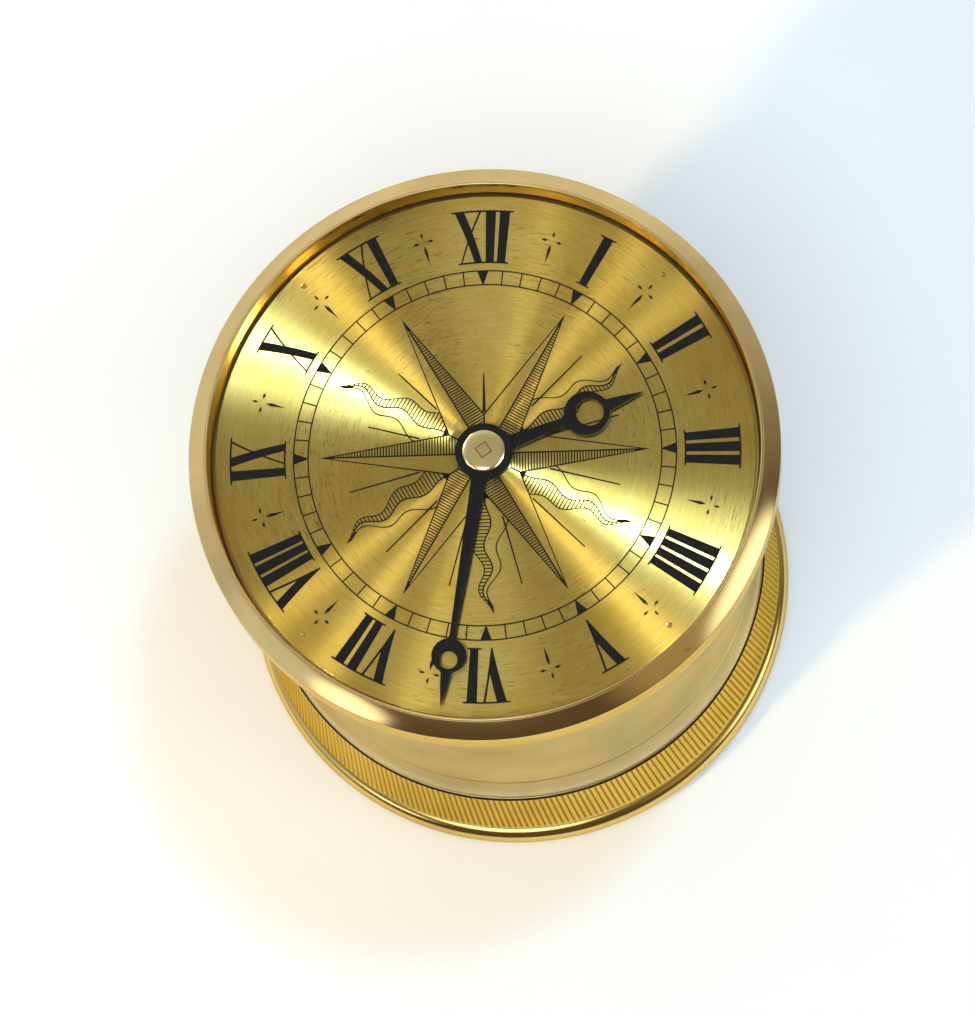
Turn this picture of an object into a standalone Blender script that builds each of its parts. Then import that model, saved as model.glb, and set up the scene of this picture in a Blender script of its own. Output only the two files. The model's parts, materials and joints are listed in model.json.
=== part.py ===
"""Drum desk clock that stands on its back with the dial facing up.

Brass drum case on a flared foot ring, bezel with a flat glass, engraved dial,
a pair of ring-and-spear hands and a 30 hour lever movement with a going barrel.
Units are metres, +Z is up, XII is towards +Y and III towards +X. The origin is
the centre of the foot ring on the table.
"""

import math

import bmesh
import bpy

MM = 0.001

# ---------------------------------------------------------------- case sizes
BEZEL_R = 40.0 * MM
BEZEL_SKIRT_R = 38.8 * MM
BEZEL_LIP_R = 37.6 * MM
BEZEL_LIP_IN_R = 37.25 * MM
DRUM_R = 35.25 * MM
DRUM_WALL = 1.2 * MM
DRUM_FLANGE_R = 38.4 * MM
FLARE_R = 36.3 * MM
FOOT_R = 39.8 * MM
REED_TOP_R = 36.7 * MM
REED_LOW_R = 38.1 * MM
REED_TOP_Z = 18.0 * MM
REED_LOW_Z = 9.3 * MM
FLARE_START_Z = 24.0 * MM
FIT = 0.3 * MM
CASE_STEPS = 40
DIAL_Z = 71.5 * MM
DIAL_R = 36.9 * MM
DIAL_THICK = 0.9 * MM
DIAL_BORE_R = 3.2 * MM
BEZEL_LOW_Z = DIAL_Z - 2.85 * MM
BEZEL_EDGE_Z = DIAL_Z + 1.7 * MM
BEZEL_TOP_Z = DIAL_Z + 3.2 * MM
GLASS_Z = DIAL_Z + 2.1 * MM
GLASS_THICK = 0.5 * MM
GLASS_R = 37.8 * MM
REBATE_R = 38.0 * MM
RING_R = 38.4 * MM
RING_TOP_IN_R = 37.25 * MM
RING_LOW_IN_R = 36.65 * MM
SEAT_TOP_Z = DIAL_Z - DIAL_THICK - FIT
SEAT_LOW_Z = 66.5 * MM
SEAT_IN_R = 31.5 * MM
SHELF_TOP_Z = 27.8 * MM
SHELF_LOW_Z = 25.8 * MM
SHELF_IN_R = 31.0 * MM
COVER_THICK = 1.5 * MM
COVER_R = 33.6 * MM
COVE_TOP_Z = 7.2 * MM
COVE_LOW_Z = 5.6 * MM
FOOT_IN_R = 33.6 * MM
FOOT_STEP_Z = 11.4 * MM
SPIGOT_LOW_Z = 11.7 * MM

# ------------------------------------------------------------ movement sizes
PLATE_R = 33.75 * MM
PLATE_THICK = 2.0 * MM
FRONT_LOW_Z = 64.1 * MM
BACK_LOW_Z = 42.1 * MM
FRONT_TOP_Z = FRONT_LOW_Z + PLATE_THICK
BACK_TOP_Z = BACK_LOW_Z + PLATE_THICK
PILLAR_R = 2.0 * MM
PILLAR_AT = 28.0 * MM
PILLAR_ANGLES = (30, 165, 270)
SCREW_R = 0.8 * MM
SCREW_HEAD_R = 1.5 * MM
CASE_SCREW_AT = 32.4 * MM
CASE_SCREW_ANGLES = (0, 120, 235)
CASE_SCREW_TOP_Z = 69.0 * MM
COVER_SCREW_AT = 32.3 * MM
COVER_SCREW_ANGLES = (90, 210, 330)
DIAL_PIN_AT = 34.7 * MM
DIAL_PIN_ANGLES = (45, 135, 225, 315)

# ------------------------------------------------------------------- gearing
# Each pair: wheel teeth, pinion leaves, module.
BARREL_PAIR = (60, 10, 0.48 * MM)
CENTRE_PAIR = (48, 6, 0.60 * MM)
THIRD_PAIR = (45, 6, 0.533 * MM)
FOURTH_PAIR = (60, 6, 0.36 * MM)
MINUTE_PAIR = (30, 10, 0.36 * MM)
HOUR_PAIR = (32, 8, 0.36 * MM)
ESCAPE_TEETH = 15
RATCHET_TEETH = 20
ESCAPE_R = 4.5 * MM
RATCHET_R = 6.0 * MM
BALANCE_R = 8.5 * MM


def pair_distance(pair):
    """Centre distance of a wheel and the pinion that it meshes with."""
    return pair[2] * (pair[0] + pair[1]) / 2


def polar(radius, degrees, centre=(0.0, 0.0)):
    """A point at this radius and angle, anticlockwise from +X."""
    turn = math.radians(degrees)
    return (centre[0] + radius * math.cos(turn), centre[1] + radius * math.sin(turn))


def bearing(start, end):
    """Angle in degrees of the line from one point to another."""
    return math.degrees(math.atan2(end[1] - start[1], end[0] - start[0]))


def two_circles(one, r_one, two, r_two):
    """The crossing of two circles that lies clockwise of the line between them."""
    gap = math.dist(one, two)
    along = (gap * gap + r_one * r_one - r_two * r_two) / (2 * gap)
    aside = math.sqrt(r_one * r_one - along * along)
    ux, uy = (two[0] - one[0]) / gap, (two[1] - one[1]) / gap
    return (one[0] + along * ux + aside * uy, one[1] + along * uy - aside * ux)


# Arbor centres in plan.
CENTRE = (0.0, 0.0)
BARREL = polar(pair_distance(BARREL_PAIR), 100)
THIRD = polar(pair_distance(CENTRE_PAIR), -15)
FOURTH = two_circles(CENTRE, 16.0 * MM, THIRD, pair_distance(THIRD_PAIR))
ESCAPE = polar(pair_distance(FOURTH_PAIR), 192, FOURTH)
LEVER = polar(5.9 * MM, 150, ESCAPE)
BALANCE = polar(6.2 * MM, 150, LEVER)
MINUTE = polar(pair_distance(MINUTE_PAIR), 200)
CLICK = polar(9.4 * MM, 200, BARREL)

# Levels of the wheels.
CENTRE_WHEEL_Z = 45.5 * MM
FOURTH_WHEEL_Z = 50.0 * MM
THIRD_WHEEL_Z = 57.0 * MM
BARREL_TEETH_Z = 60.6 * MM
BARREL_LOW_Z = 49.0 * MM
MOTION_Z = 66.5 * MM
RATCHET_Z = 39.6 * MM
ESCAPE_Z = 39.4 * MM
LEVER_Z = 38.3 * MM
BALANCE_Z = 35.6 * MM
COCK_Z = 31.2 * MM
BRIDGE_LOW_Z = 36.9 * MM
ROLLER_Z = 38.9 * MM
CENTRE_LEAVES_Z = 59.8 * MM
CENTRE_ARBOR_LOW_Z = 12.0 * MM
BARREL_ARBOR_LOW_Z = 16.0 * MM
KNOB_LOW_Z = 11.0 * MM
KNOB_TOP_Z = 20.0 * MM
KEY_LOW_Z = 10.0 * MM
KEY_TOP_Z = 22.6 * MM
KEY_WING_Z = 8.0 * MM

# Rest positions of the hands, clockwise from XII.
MINUTE_HAND_ANGLE = 189.9
HOUR_HAND_ANGLE = 70.0

# Square end of the centre arbor, and the holes that fit it.
SQUARE_HALF = 0.75 * MM
SQUARE_HOLE_HALF = 0.85 * MM
SQUARE_TOP_Z = DIAL_Z + 1.95 * MM

# ---------------------------------------------------------------- materials
FINISHES = {
    "satin_brass": ((0.60, 0.47, 0.22), 1.0, 0.42),
    "polished_brass": ((0.78, 0.56, 0.20), 1.0, 0.12),
    "dial_brass": ((0.62, 0.48, 0.17), 1.0, 0.35),
    "plate_brass": ((0.66, 0.50, 0.24), 1.0, 0.30),
    "steel": ((0.56, 0.57, 0.58), 1.0, 0.25),
    "blued_steel": ((0.07, 0.11, 0.26), 1.0, 0.25),
    "black_steel": ((0.015, 0.015, 0.018), 0.6, 0.40),
    "glass": ((0.95, 0.97, 0.96), 0.0, 0.03),
}


def collection(name):
    made = bpy.data.collections.new(name)
    bpy.context.scene.collection.children.link(made)
    return made


def finish(obj, kind):
    """Give the object its own Principled BSDF material."""
    colour, metallic, roughness = FINISHES[kind]
    material = bpy.data.materials.new(obj.name + "_" + kind)
    material.use_nodes = True
    shader = material.node_tree.nodes["Principled BSDF"]
    shader.inputs["Base Color"].default_value = (*colour, 1.0)
    shader.inputs["Metallic"].default_value = metallic
    shader.inputs["Roughness"].default_value = roughness
    if kind == "glass":
        shader.inputs["Transmission Weight"].default_value = 1.0
    obj.data.materials.clear()
    obj.data.materials.append(material)


def put(name, mesh, kind, at=(0.0, 0.0, 0.0)):
    """Link a part made from this mesh, with its origin at the given point."""
    obj = bpy.data.objects.new(name, mesh)
    obj.location = at
    PARTS.objects.link(obj)
    if kind:
        finish(obj, kind)
    return obj


def hide_as_cutter(obj):
    """Move a helper to the cutters, where no render shows it."""
    PARTS.objects.unlink(obj)
    CUTTERS.objects.link(obj)
    obj.hide_render = True
    obj.display_type = "WIRE"
    return obj


def turned(name, profile, kind, at=(0.0, 0.0, 0.0), steps=24, ring=True):
    """A turned piece. The profile holds (radius, height) points that run clockwise."""
    mesh = bpy.data.meshes.new(name)
    count = len(profile)
    edges = [(i, i + 1) for i in range(count - 1)]
    if ring:
        edges.append((count - 1, 0))
    mesh.from_pydata([(r, 0.0, z) for r, z in profile], edges, [])
    obj = put(name, mesh, kind, at)
    screw = obj.modifiers.new("turn", "SCREW")
    screw.steps = steps
    screw.render_steps = steps
    screw.use_merge_vertices = True
    screw.merge_threshold = 0.00001
    screw.use_smooth_shade = True
    return obj


def solid_turned(name, profile, kind, at=(0.0, 0.0, 0.0), steps=16):
    """A turned piece with no bore, closed on its axis at both ends."""
    closed = [(0.0, profile[0][1])] + list(profile) + [(0.0, profile[-1][1])]
    return turned(name, closed, kind, at, steps, ring=False)


def tube_profile(r_in, r_out, low, high):
    return [(r_in, high), (r_out, high), (r_out, low), (r_in, low)]


def plate(name, loops, low, high, kind, at=(0.0, 0.0)):
    """A flat piece: closed outlines, holes included, extruded between two heights."""
    curve = bpy.data.curves.new(name, "CURVE")
    curve.dimensions = "2D"
    curve.fill_mode = "BOTH"
    curve.extrude = (high - low) / 2
    for loop in loops:
        spline = curve.splines.new("POLY")
        spline.points.add(len(loop) - 1)
        for point, (x, y) in zip(spline.points, loop):
            point.co = (x, y, 0.0, 1.0)
        spline.use_cyclic_u = True
    return put(name, curve, kind, (at[0], at[1], (low + high) / 2))


def as_mesh(obj):
    """Replace a curve by its mesh, with the loose caps welded, so that it can be cut."""
    graph = bpy.context.evaluated_depsgraph_get()
    mesh = bpy.data.meshes.new_from_object(obj.evaluated_get(graph))
    work = bmesh.new()
    work.from_mesh(mesh)
    bmesh.ops.remove_doubles(work, verts=work.verts, dist=0.000001)
    bmesh.ops.recalc_face_normals(work, faces=work.faces)
    work.to_mesh(mesh)
    work.free()
    name, place, materials = obj.name, obj.matrix_world.copy(), list(obj.data.materials)
    bpy.data.objects.remove(obj)
    fresh = put(name, mesh, None)
    fresh.matrix_world = place
    mesh.materials.clear()
    for material in materials:
        mesh.materials.append(material)
    return fresh


def combine(obj, other, operation):
    """Keep a Boolean modifier on the piece, with its helper among the cutters."""
    bpy.context.view_layer.update()
    if other.type == "CURVE":
        other = as_mesh(other)
    hide_as_cutter(other)
    modifier = obj.modifiers.new(operation.lower(), "BOOLEAN")
    modifier.operation = operation
    modifier.solver = "EXACT"
    modifier.object = other


def join(obj, other):
    combine(obj, other, "UNION")


def cut(obj, other):
    combine(obj, other, "DIFFERENCE")


def circle(radius, centre=(0.0, 0.0), points=16, start=0.0):
    return [polar(radius, start + 360 * k / points, centre) for k in range(points)]


def arc(radius, first, last, points, centre=(0.0, 0.0)):
    """Points along an arc, both ends included."""
    return [
        polar(radius, first + (last - first) * k / (points - 1), centre)
        for k in range(points)
    ]


def drill(name, centres, radius, low, high, points=8):
    """One helper that holds a round drill at each centre."""
    return plate(name, [circle(radius, c, points) for c in centres], low, high, None)


# -------------------------------------------------------------------- teeth
def wheel_outline(pair, toward):
    """Trapezoid teeth, with one tooth on the line toward the pinion."""
    count, _, module = pair
    pitch = module * count / 2
    half = 180 / count
    loop = []
    for k in range(count):
        middle = toward + 360 * k / count
        for radius, share in (
            (pitch - 1.3 * module, -0.46),
            (pitch + 0.95 * module, -0.14),
            (pitch + 0.95 * module, 0.14),
            (pitch - 1.3 * module, 0.46),
        ):
            loop.append(polar(radius, middle + half * share))
    return loop


def pinion_outline(pair, toward):
    """Narrow leaves, with one gap on the line toward the wheel."""
    _, count, module = pair
    pitch = module * count / 2
    half = 180 / count
    loop = []
    for k in range(count):
        middle = toward + half + 360 * k / count
        for radius, share in (
            (pitch - 1.4 * module, -0.36),
            (pitch + 0.55 * module, -0.20),
            (pitch + 0.55 * module, 0.20),
            (pitch - 1.4 * module, 0.36),
        ):
            loop.append(polar(radius, middle + half * share))
    return loop


def crossings(inner, outer, count, spoke, start=0.0):
    """The windows between the spokes of a wheel."""
    windows = []
    points = 20 // count
    for k in range(count):
        middle = start + 360 * (k + 0.5) / count
        reach = 180 / count
        wide_out = reach - math.degrees(spoke / 2 / outer)
        wide_in = reach - math.degrees(spoke / 2 / inner)
        window = arc(outer, middle - wide_out, middle + wide_out, points)
        window += arc(inner, middle + wide_in, middle - wide_in, points // 2)
        windows.append(window)
    return windows


def spoked_wheel(name, pair, toward, at, low, thick, bore, hub, kind="plate_brass"):
    rim = pair[2] * (pair[0] / 2 - 1.3) - 1.0 * MM
    loops = [wheel_outline(pair, toward), circle(bore, points=12)]
    loops += crossings(hub, rim, 4, 1.1 * MM)
    return plate(name, loops, low, low + thick, kind, at)


def arbor(name, steps_of, at, kind="steel", steps=12):
    """A solid arbor. Each step is (radius, low, high), from the top down."""
    profile = []
    for radius, low, high in steps_of:
        profile += [(radius, high), (radius, low)]
    return solid_turned(name, profile, kind, (*at, 0.0), steps)


# --------------------------------------------------------------------- case
def make_drum():
    """Turned wall with the dial seat, cover shelf, flare and spigot in one piece."""
    wall_in = DRUM_R - DRUM_WALL
    spigot_r = DRUM_R - 0.3 * MM
    flare = [
        (DRUM_R + (FLARE_R - DRUM_R) * (1 - math.cos(t)), FLARE_START_Z
         + (REED_TOP_Z + FIT - FLARE_START_Z) * math.sin(t))
        for t in [math.radians(a) for a in (0, 45, 90)]
    ]
    profile = [
        (SEAT_IN_R, SEAT_TOP_Z),
        (DRUM_FLANGE_R, SEAT_TOP_Z),
        (DRUM_FLANGE_R, BEZEL_LOW_Z + FIT),
        (DRUM_R, BEZEL_LOW_Z + FIT),
        *flare,
        (spigot_r, REED_TOP_Z + FIT),
        (spigot_r, SPIGOT_LOW_Z),
        (wall_in, SPIGOT_LOW_Z),
        (wall_in, SHELF_LOW_Z),
        (SHELF_IN_R, SHELF_LOW_Z),
        (SHELF_IN_R, SHELF_TOP_Z),
        (wall_in, SHELF_TOP_Z),
        (wall_in, SEAT_LOW_Z),
        (SEAT_IN_R, SEAT_LOW_Z),
    ]
    drum = turned("case_drum", profile, "satin_brass", steps=CASE_STEPS)
    pins = [polar(DIAL_PIN_AT, a) for a in DIAL_PIN_ANGLES]
    cut(drum, drill("dial_pin_holes", pins, 0.55 * MM, SEAT_TOP_Z - 2 * MM, DIAL_Z))
    screws = [polar(CASE_SCREW_AT, a) for a in CASE_SCREW_ANGLES]
    cut(drum, drill("case_screw_holes", screws, 0.75 * MM, SEAT_LOW_Z - MM,
                    CASE_SCREW_TOP_Z + 2 * FIT))
    screws = [polar(COVER_SCREW_AT, a) for a in COVER_SCREW_ANGLES]
    cut(drum, drill("cover_screw_holes", screws, 0.75 * MM, SHELF_LOW_Z - MM,
                    SHELF_TOP_Z - 2 * FIT))


def make_foot():
    """Flared ring with a cove and a bead that the clock stands on."""
    bead_r, bead_z = 1.55 * MM, 2.9 * MM
    bead_c = FOOT_R - bead_r
    bead = [
        (bead_c + bead_r * math.cos(t), bead_z + bead_r * math.sin(t))
        for t in [math.radians(a) for a in (75, 30, -15, -60)]
    ]
    profile = [
        (DRUM_R + 0.05 * MM, REED_TOP_Z),
        (REED_TOP_R, REED_TOP_Z),
        (REED_LOW_R, REED_LOW_Z),
        (REED_LOW_R + 0.12 * MM, COVE_TOP_Z),
        (REED_LOW_R + 0.05 * MM, COVE_LOW_Z),
        *bead,
        (FOOT_R - 1.3 * MM, 0.9 * MM),
        (FOOT_R - 1.3 * MM, 0.0),
        (FOOT_IN_R, 0.0),
        (FOOT_IN_R, FOOT_STEP_Z),
        (DRUM_R + 0.05 * MM, FOOT_STEP_Z),
    ]
    turned("base_ring", profile, "polished_brass", steps=CASE_STEPS)


def make_bezel():
    """Straight outer edge, wide chamfer and a rounded lip over the glass."""
    lip_low_z = GLASS_Z + GLASS_THICK + 0.05 * MM
    profile = [
        (BEZEL_LIP_IN_R, BEZEL_TOP_Z - 0.1 * MM),
        (BEZEL_LIP_IN_R + 0.15 * MM, BEZEL_TOP_Z),
        (BEZEL_LIP_R, BEZEL_TOP_Z - 0.05 * MM),
        (BEZEL_R, BEZEL_EDGE_Z),
        (BEZEL_R, BEZEL_LOW_Z),
        (BEZEL_SKIRT_R, BEZEL_LOW_Z),
        (BEZEL_SKIRT_R, GLASS_Z),
        (REBATE_R, GLASS_Z),
        (REBATE_R, lip_low_z),
        (BEZEL_LIP_IN_R, lip_low_z),
    ]
    turned("bezel", profile, "polished_brass", steps=CASE_STEPS)


def make_glass():
    low, high, r = GLASS_Z, GLASS_Z + GLASS_THICK, GLASS_R
    solid_turned("glass", [(r - 0.1 * MM, high), (r, high - 0.1 * MM), (r, low)],
                 "glass", steps=CASE_STEPS)


def make_reflector():
    """Polished ring between the dial and the glass."""
    low, high = DIAL_Z + 0.05 * MM, GLASS_Z - 0.05 * MM
    profile = [
        (RING_TOP_IN_R, high),
        (RING_R, high),
        (RING_R, low),
        (RING_LOW_IN_R, low),
    ]
    turned("dial_reflector_ring", profile, "polished_brass", steps=CASE_STEPS)


def make_dial():
    low = DIAL_Z - DIAL_THICK
    holes = [circle(0.4 * MM, polar(DIAL_PIN_AT, a), 6) for a in DIAL_PIN_ANGLES]
    loops = [circle(DIAL_R, points=CASE_STEPS), circle(DIAL_BORE_R, points=16)] + holes
    plate("dial_plate", loops, low, DIAL_Z, "dial_brass")
    for number, angle in enumerate(DIAL_PIN_ANGLES, 1):
        x, y = polar(DIAL_PIN_AT, angle)
        shank = 0.28 * MM
        profile = [(shank, DIAL_Z), (shank, SEAT_TOP_Z - 1.7 * MM)]
        solid_turned(f"dial_pin_{number}", profile, "polished_brass", (x, y, 0), 8)


def make_back_cover():
    """Disc under the movement, with openings for the key, the knob and the index."""
    high = SHELF_LOW_Z - 0.1 * MM
    loops = [circle(COVER_R, points=36), circle(3.0 * MM, BARREL, 12)]
    loops += [circle(2.2 * MM, points=12)]
    loops += [circle(0.8 * MM, polar(COVER_SCREW_AT, a), 8) for a in COVER_SCREW_ANGLES]
    slot = arc(9.6 * MM, 190, 250, 6, BALANCE) + arc(8.0 * MM, 250, 190, 6, BALANCE)
    plate("back_cover", loops + [slot], high - COVER_THICK, high, "satin_brass")
    for number, angle in enumerate(COVER_SCREW_ANGLES, 1):
        top, head = high + 1.3 * MM, high - COVER_THICK - 0.05 * MM
        make_screw(f"cover_screw_{number}", polar(COVER_SCREW_AT, angle), top, head,
                   0.6 * MM, 1.15 * MM, 0.8 * MM)


def make_screw(name, at, top, head_top, shank_r, head_r, head_thick):
    """A slotted cheese-head screw whose head faces down."""
    low = head_top - head_thick
    profile = [(shank_r, top), (shank_r, head_top), (head_r, head_top), (head_r, low)]
    screw = solid_turned(name, profile, "steel", (*at, 0.0), 8)
    half_w, half_l = 0.16 * MM, head_r * 1.2
    box = [(-half_l, -half_w), (half_l, -half_w), (half_l, half_w), (-half_l, half_w)]
    slot = plate(name + "_slot", [box], low - MM, low + head_thick * 0.45, None, at)
    cut(screw, slot)


# ------------------------------------------------------------------- plates
def make_plates():
    pillars = [polar(PILLAR_AT, a) for a in PILLAR_ANGLES]
    bores = [(CENTRE, 1.2), (BARREL, 1.6), (THIRD, 0.5), (FOURTH, 0.5), (ESCAPE, 0.5)]
    front = [circle(PLATE_R, points=36)]
    front += [circle(r * MM, c, 10) for c, r in bores]
    front += [circle(0.8 * MM, polar(CASE_SCREW_AT, a), 8) for a in CASE_SCREW_ANGLES]
    plate("front_plate", front, FRONT_LOW_Z, FRONT_TOP_Z, "plate_brass")
    bores[-1] = (ESCAPE, 1.0)
    back = [circle(30.6 * MM, points=36)]
    back += [circle(r * MM, c, 10) for c, r in bores + [(LEVER, 0.5), (BALANCE, 0.5)]]
    back += [circle(1.0 * MM, c, 8) for c in pillars]
    plate("back_plate", back, BACK_LOW_Z, BACK_TOP_Z, "plate_brass")
    for number, angle in enumerate(CASE_SCREW_ANGLES, 1):
        make_screw(f"case_screw_{number}", polar(CASE_SCREW_AT, angle), CASE_SCREW_TOP_Z,
                   FRONT_LOW_Z - 0.05 * MM, 0.6 * MM, 1.15 * MM, 0.8 * MM)
    for number, centre in enumerate(pillars, 1):
        make_pillar(number, centre)


def make_pillar(number, centre):
    """Turned pillar with a waist and a blind hole for its screw."""
    low, high = BACK_TOP_Z + 0.05 * MM, FRONT_LOW_Z - 0.05 * MM
    waist = PILLAR_R * 0.72
    profile = [
        (PILLAR_R, high),
        (PILLAR_R, high - 2 * MM),
        (waist, high - 4 * MM),
        (waist, low + 4 * MM),
        (PILLAR_R, low + 2 * MM),
        (PILLAR_R, low),
        (1.0 * MM, low),
        (1.0 * MM, low + 4 * MM),
    ]
    solid_turned(f"pillar_{number}", profile, "plate_brass", (*centre, 0.0), 12)
    make_screw(f"pillar_screw_{number}", centre, low + 3.5 * MM, BACK_LOW_Z - 0.05 * MM,
               SCREW_R, SCREW_HEAD_R, 1.1 * MM)


# ---------------------------------------------------------- barrel and click
def make_barrel():
    toward = bearing(BARREL, CENTRE)
    teeth_r = BARREL_PAIR[2] * (BARREL_PAIR[0] / 2 - 1.3)
    drum_r = teeth_r - 0.2 * MM
    wall = 0.7 * MM
    top = BARREL_TEETH_Z + 1.4 * MM
    loops = [wheel_outline(BARREL_PAIR, toward), circle(drum_r - wall, points=24)]
    barrel = as_mesh(plate("barrel", loops, BARREL_TEETH_Z, top, "plate_brass", BARREL))
    cup = [
        (drum_r - wall, BARREL_TEETH_Z + 0.2 * MM),
        (drum_r, BARREL_TEETH_Z + 0.2 * MM),
        (drum_r, BARREL_LOW_Z),
        (1.9 * MM, BARREL_LOW_Z),
        (1.9 * MM, BARREL_LOW_Z + wall),
        (drum_r - wall, BARREL_LOW_Z + wall),
    ]
    join(barrel, turned("barrel_cup", cup, None, (*BARREL, 0.0), 24))
    cap_r = drum_r - wall - 0.05 * MM
    plate("barrel_cap", [circle(cap_r, points=24), circle(1.9 * MM, points=12)],
          top - 0.8 * MM, top - 0.1 * MM, "plate_brass", BARREL)
    make_mainspring(drum_r - wall - 0.5 * MM)


def make_mainspring(outer):
    """Flat strip wound in a spiral, as tall as the inside of the barrel."""
    inner, turns, per_turn, thick = 3.4 * MM, 6, 10, 0.35 * MM
    count = turns * per_turn
    low, high = BARREL_LOW_Z + 1.2 * MM, BARREL_TEETH_Z - 0.1 * MM

    def side(offset):
        return [
            polar(inner + (outer - inner) * k / count + offset, 360 * k / per_turn)
            for k in range(count + 1)
        ]

    loop = side(thick / 2) + side(-thick / 2)[::-1]
    plate("mainspring", [loop], low, high, "blued_steel", BARREL)


def make_winding():
    """Barrel arbor with its hub, ratchet wheel below the back plate, and the key."""
    arbor("barrel_arbor", [
        (1.4 * MM, FRONT_LOW_Z, FRONT_TOP_Z - 0.1 * MM),
        (1.7 * MM, BARREL_TEETH_Z + 0.2 * MM, FRONT_LOW_Z - 0.2 * MM),
        (2.6 * MM, BARREL_LOW_Z + 1.0 * MM, BARREL_TEETH_Z + 0.2 * MM),
        (1.7 * MM, BACK_TOP_Z + 0.2 * MM, BARREL_LOW_Z + 1.0 * MM),
        (1.4 * MM, BARREL_ARBOR_LOW_Z, BACK_TOP_Z + 0.2 * MM),
    ], BARREL)
    teeth = []
    for k in range(RATCHET_TEETH):
        teeth.append(polar(RATCHET_R, 360 * k / RATCHET_TEETH))
        teeth.append(polar(RATCHET_R * 0.84, 360 * (k + 0.12) / RATCHET_TEETH))
    plate("ratchet_wheel", [teeth, circle(1.5 * MM, points=12)], RATCHET_Z,
          RATCHET_Z + 1.4 * MM, "steel", BARREL)
    make_key()


def make_key():
    """Butterfly key on the end of the barrel arbor, inside the foot recess."""
    pipe = tube_profile(1.55 * MM, 2.5 * MM, KEY_LOW_Z, KEY_TOP_Z)
    key = turned("winding_key", pipe, "polished_brass", (*BARREL, 0.0), 16)
    wing = arc(4.0 * MM, -62, 62, 7, (6.0 * MM, 0.0))
    wing += arc(4.0 * MM, 118, 242, 7, (-6.0 * MM, 0.0))
    wings = plate("key_wings", [wing], -0.7 * MM, 0.7 * MM, None)
    wings.rotation_euler = (math.radians(90), 0.0, math.radians(20))
    wings.location = (BARREL[0], BARREL[1], KEY_WING_Z)
    join(key, wings)


def make_click():
    """Pawl of the ratchet, its shouldered screw and its spring."""
    low, high = RATCHET_Z + 0.1 * MM, RATCHET_Z + 1.3 * MM
    back = bearing(CLICK, BARREL)
    tip = polar(RATCHET_R + 0.35 * MM, bearing(BARREL, CLICK) + 24, BARREL)
    tip = (tip[0] - CLICK[0], tip[1] - CLICK[1])
    aim = math.degrees(math.atan2(tip[1], tip[0]))
    body = arc(1.9 * MM, aim + 70, aim + 290, 8)
    loops = [body + [tip], circle(0.95 * MM, points=10)]
    plate("click", loops, low, high, "steel", CLICK)
    make_screw("click_screw", CLICK, BACK_LOW_Z - 0.1 * MM, low - 0.1 * MM,
               0.8 * MM, 1.5 * MM, 0.7 * MM)
    wire = bpy.data.curves.new("click_spring", "CURVE")
    wire.dimensions = "3D"
    wire.bevel_depth = 0.2 * MM
    wire.bevel_resolution = 1
    wire.use_fill_caps = True
    spline = wire.splines.new("POLY")
    z = (low + high) / 2
    away = back + 180
    foot = polar(8.5 * MM, away - 55, CLICK)
    points = [(*polar(2.4 * MM, aim + 60, CLICK), z)]
    points += [(*polar(2.45 * MM, a, CLICK), z) for a in (aim + 95, aim + 130, aim + 165)]
    points += [(*foot, z), (*foot, BACK_LOW_Z - 0.1 * MM)]
    spline.points.add(len(points) - 1)
    for point, co in zip(spline.points, points):
        point.co = (*co, 1.0)
    put("click_spring", wire, "steel")


# -------------------------------------------------------------- going train
def make_centre():
    """Centre arbor from the set knob up to the collet, with its pinion."""
    top = SQUARE_TOP_Z
    shaft = arbor("centre_arbor", [
        (0.7 * MM, FRONT_LOW_Z + 0.2 * MM, top - 1.6 * MM),
        (1.1 * MM, CENTRE_ARBOR_LOW_Z, FRONT_LOW_Z + 0.2 * MM),
    ], CENTRE)
    corners = circle(SQUARE_HALF * math.sqrt(2), points=4, start=-MINUTE_HAND_ANGLE)
    join(shaft, plate("arbor_square", [corners], top - 2.2 * MM, top, None))
    leaves = pinion_outline(BARREL_PAIR, bearing(CENTRE, BARREL))
    join(shaft, plate("centre_leaves", [leaves], CENTRE_LEAVES_Z,
                      CENTRE_LEAVES_Z + 3.2 * MM, None))
    toward = bearing(CENTRE, THIRD)
    spoked_wheel("centre_wheel", CENTRE_PAIR, toward, CENTRE, CENTRE_WHEEL_Z,
                 0.8 * MM, 1.2 * MM, 3.0 * MM)
    profile = [
        (1.25 * MM, KNOB_TOP_Z),
        (2.6 * MM, KNOB_TOP_Z),
        (2.6 * MM, KNOB_LOW_Z + 5.6 * MM),
        (5.0 * MM, KNOB_LOW_Z + 5.2 * MM),
        (5.4 * MM, KNOB_LOW_Z + 4.8 * MM),
        (5.4 * MM, KNOB_LOW_Z + 0.5 * MM),
        (4.9 * MM, KNOB_LOW_Z),
        (1.25 * MM, KNOB_LOW_Z),
    ]
    turned("set_knob", profile, "polished_brass", steps=20)


def make_train_arbor(name, at, pair, toward, leaves_low, leaves_high, low, high):
    shaft = arbor(name, [
        (0.4 * MM, high - 1.6 * MM, high),
        (0.7 * MM, low + 1.6 * MM, high - 1.6 * MM),
        (0.4 * MM, low, low + 1.6 * MM),
    ], at, steps=10)
    leaves = plate(name + "_leaves", [pinion_outline(pair, toward)], leaves_low,
                   leaves_high, None, at)
    join(shaft, leaves)


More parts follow.
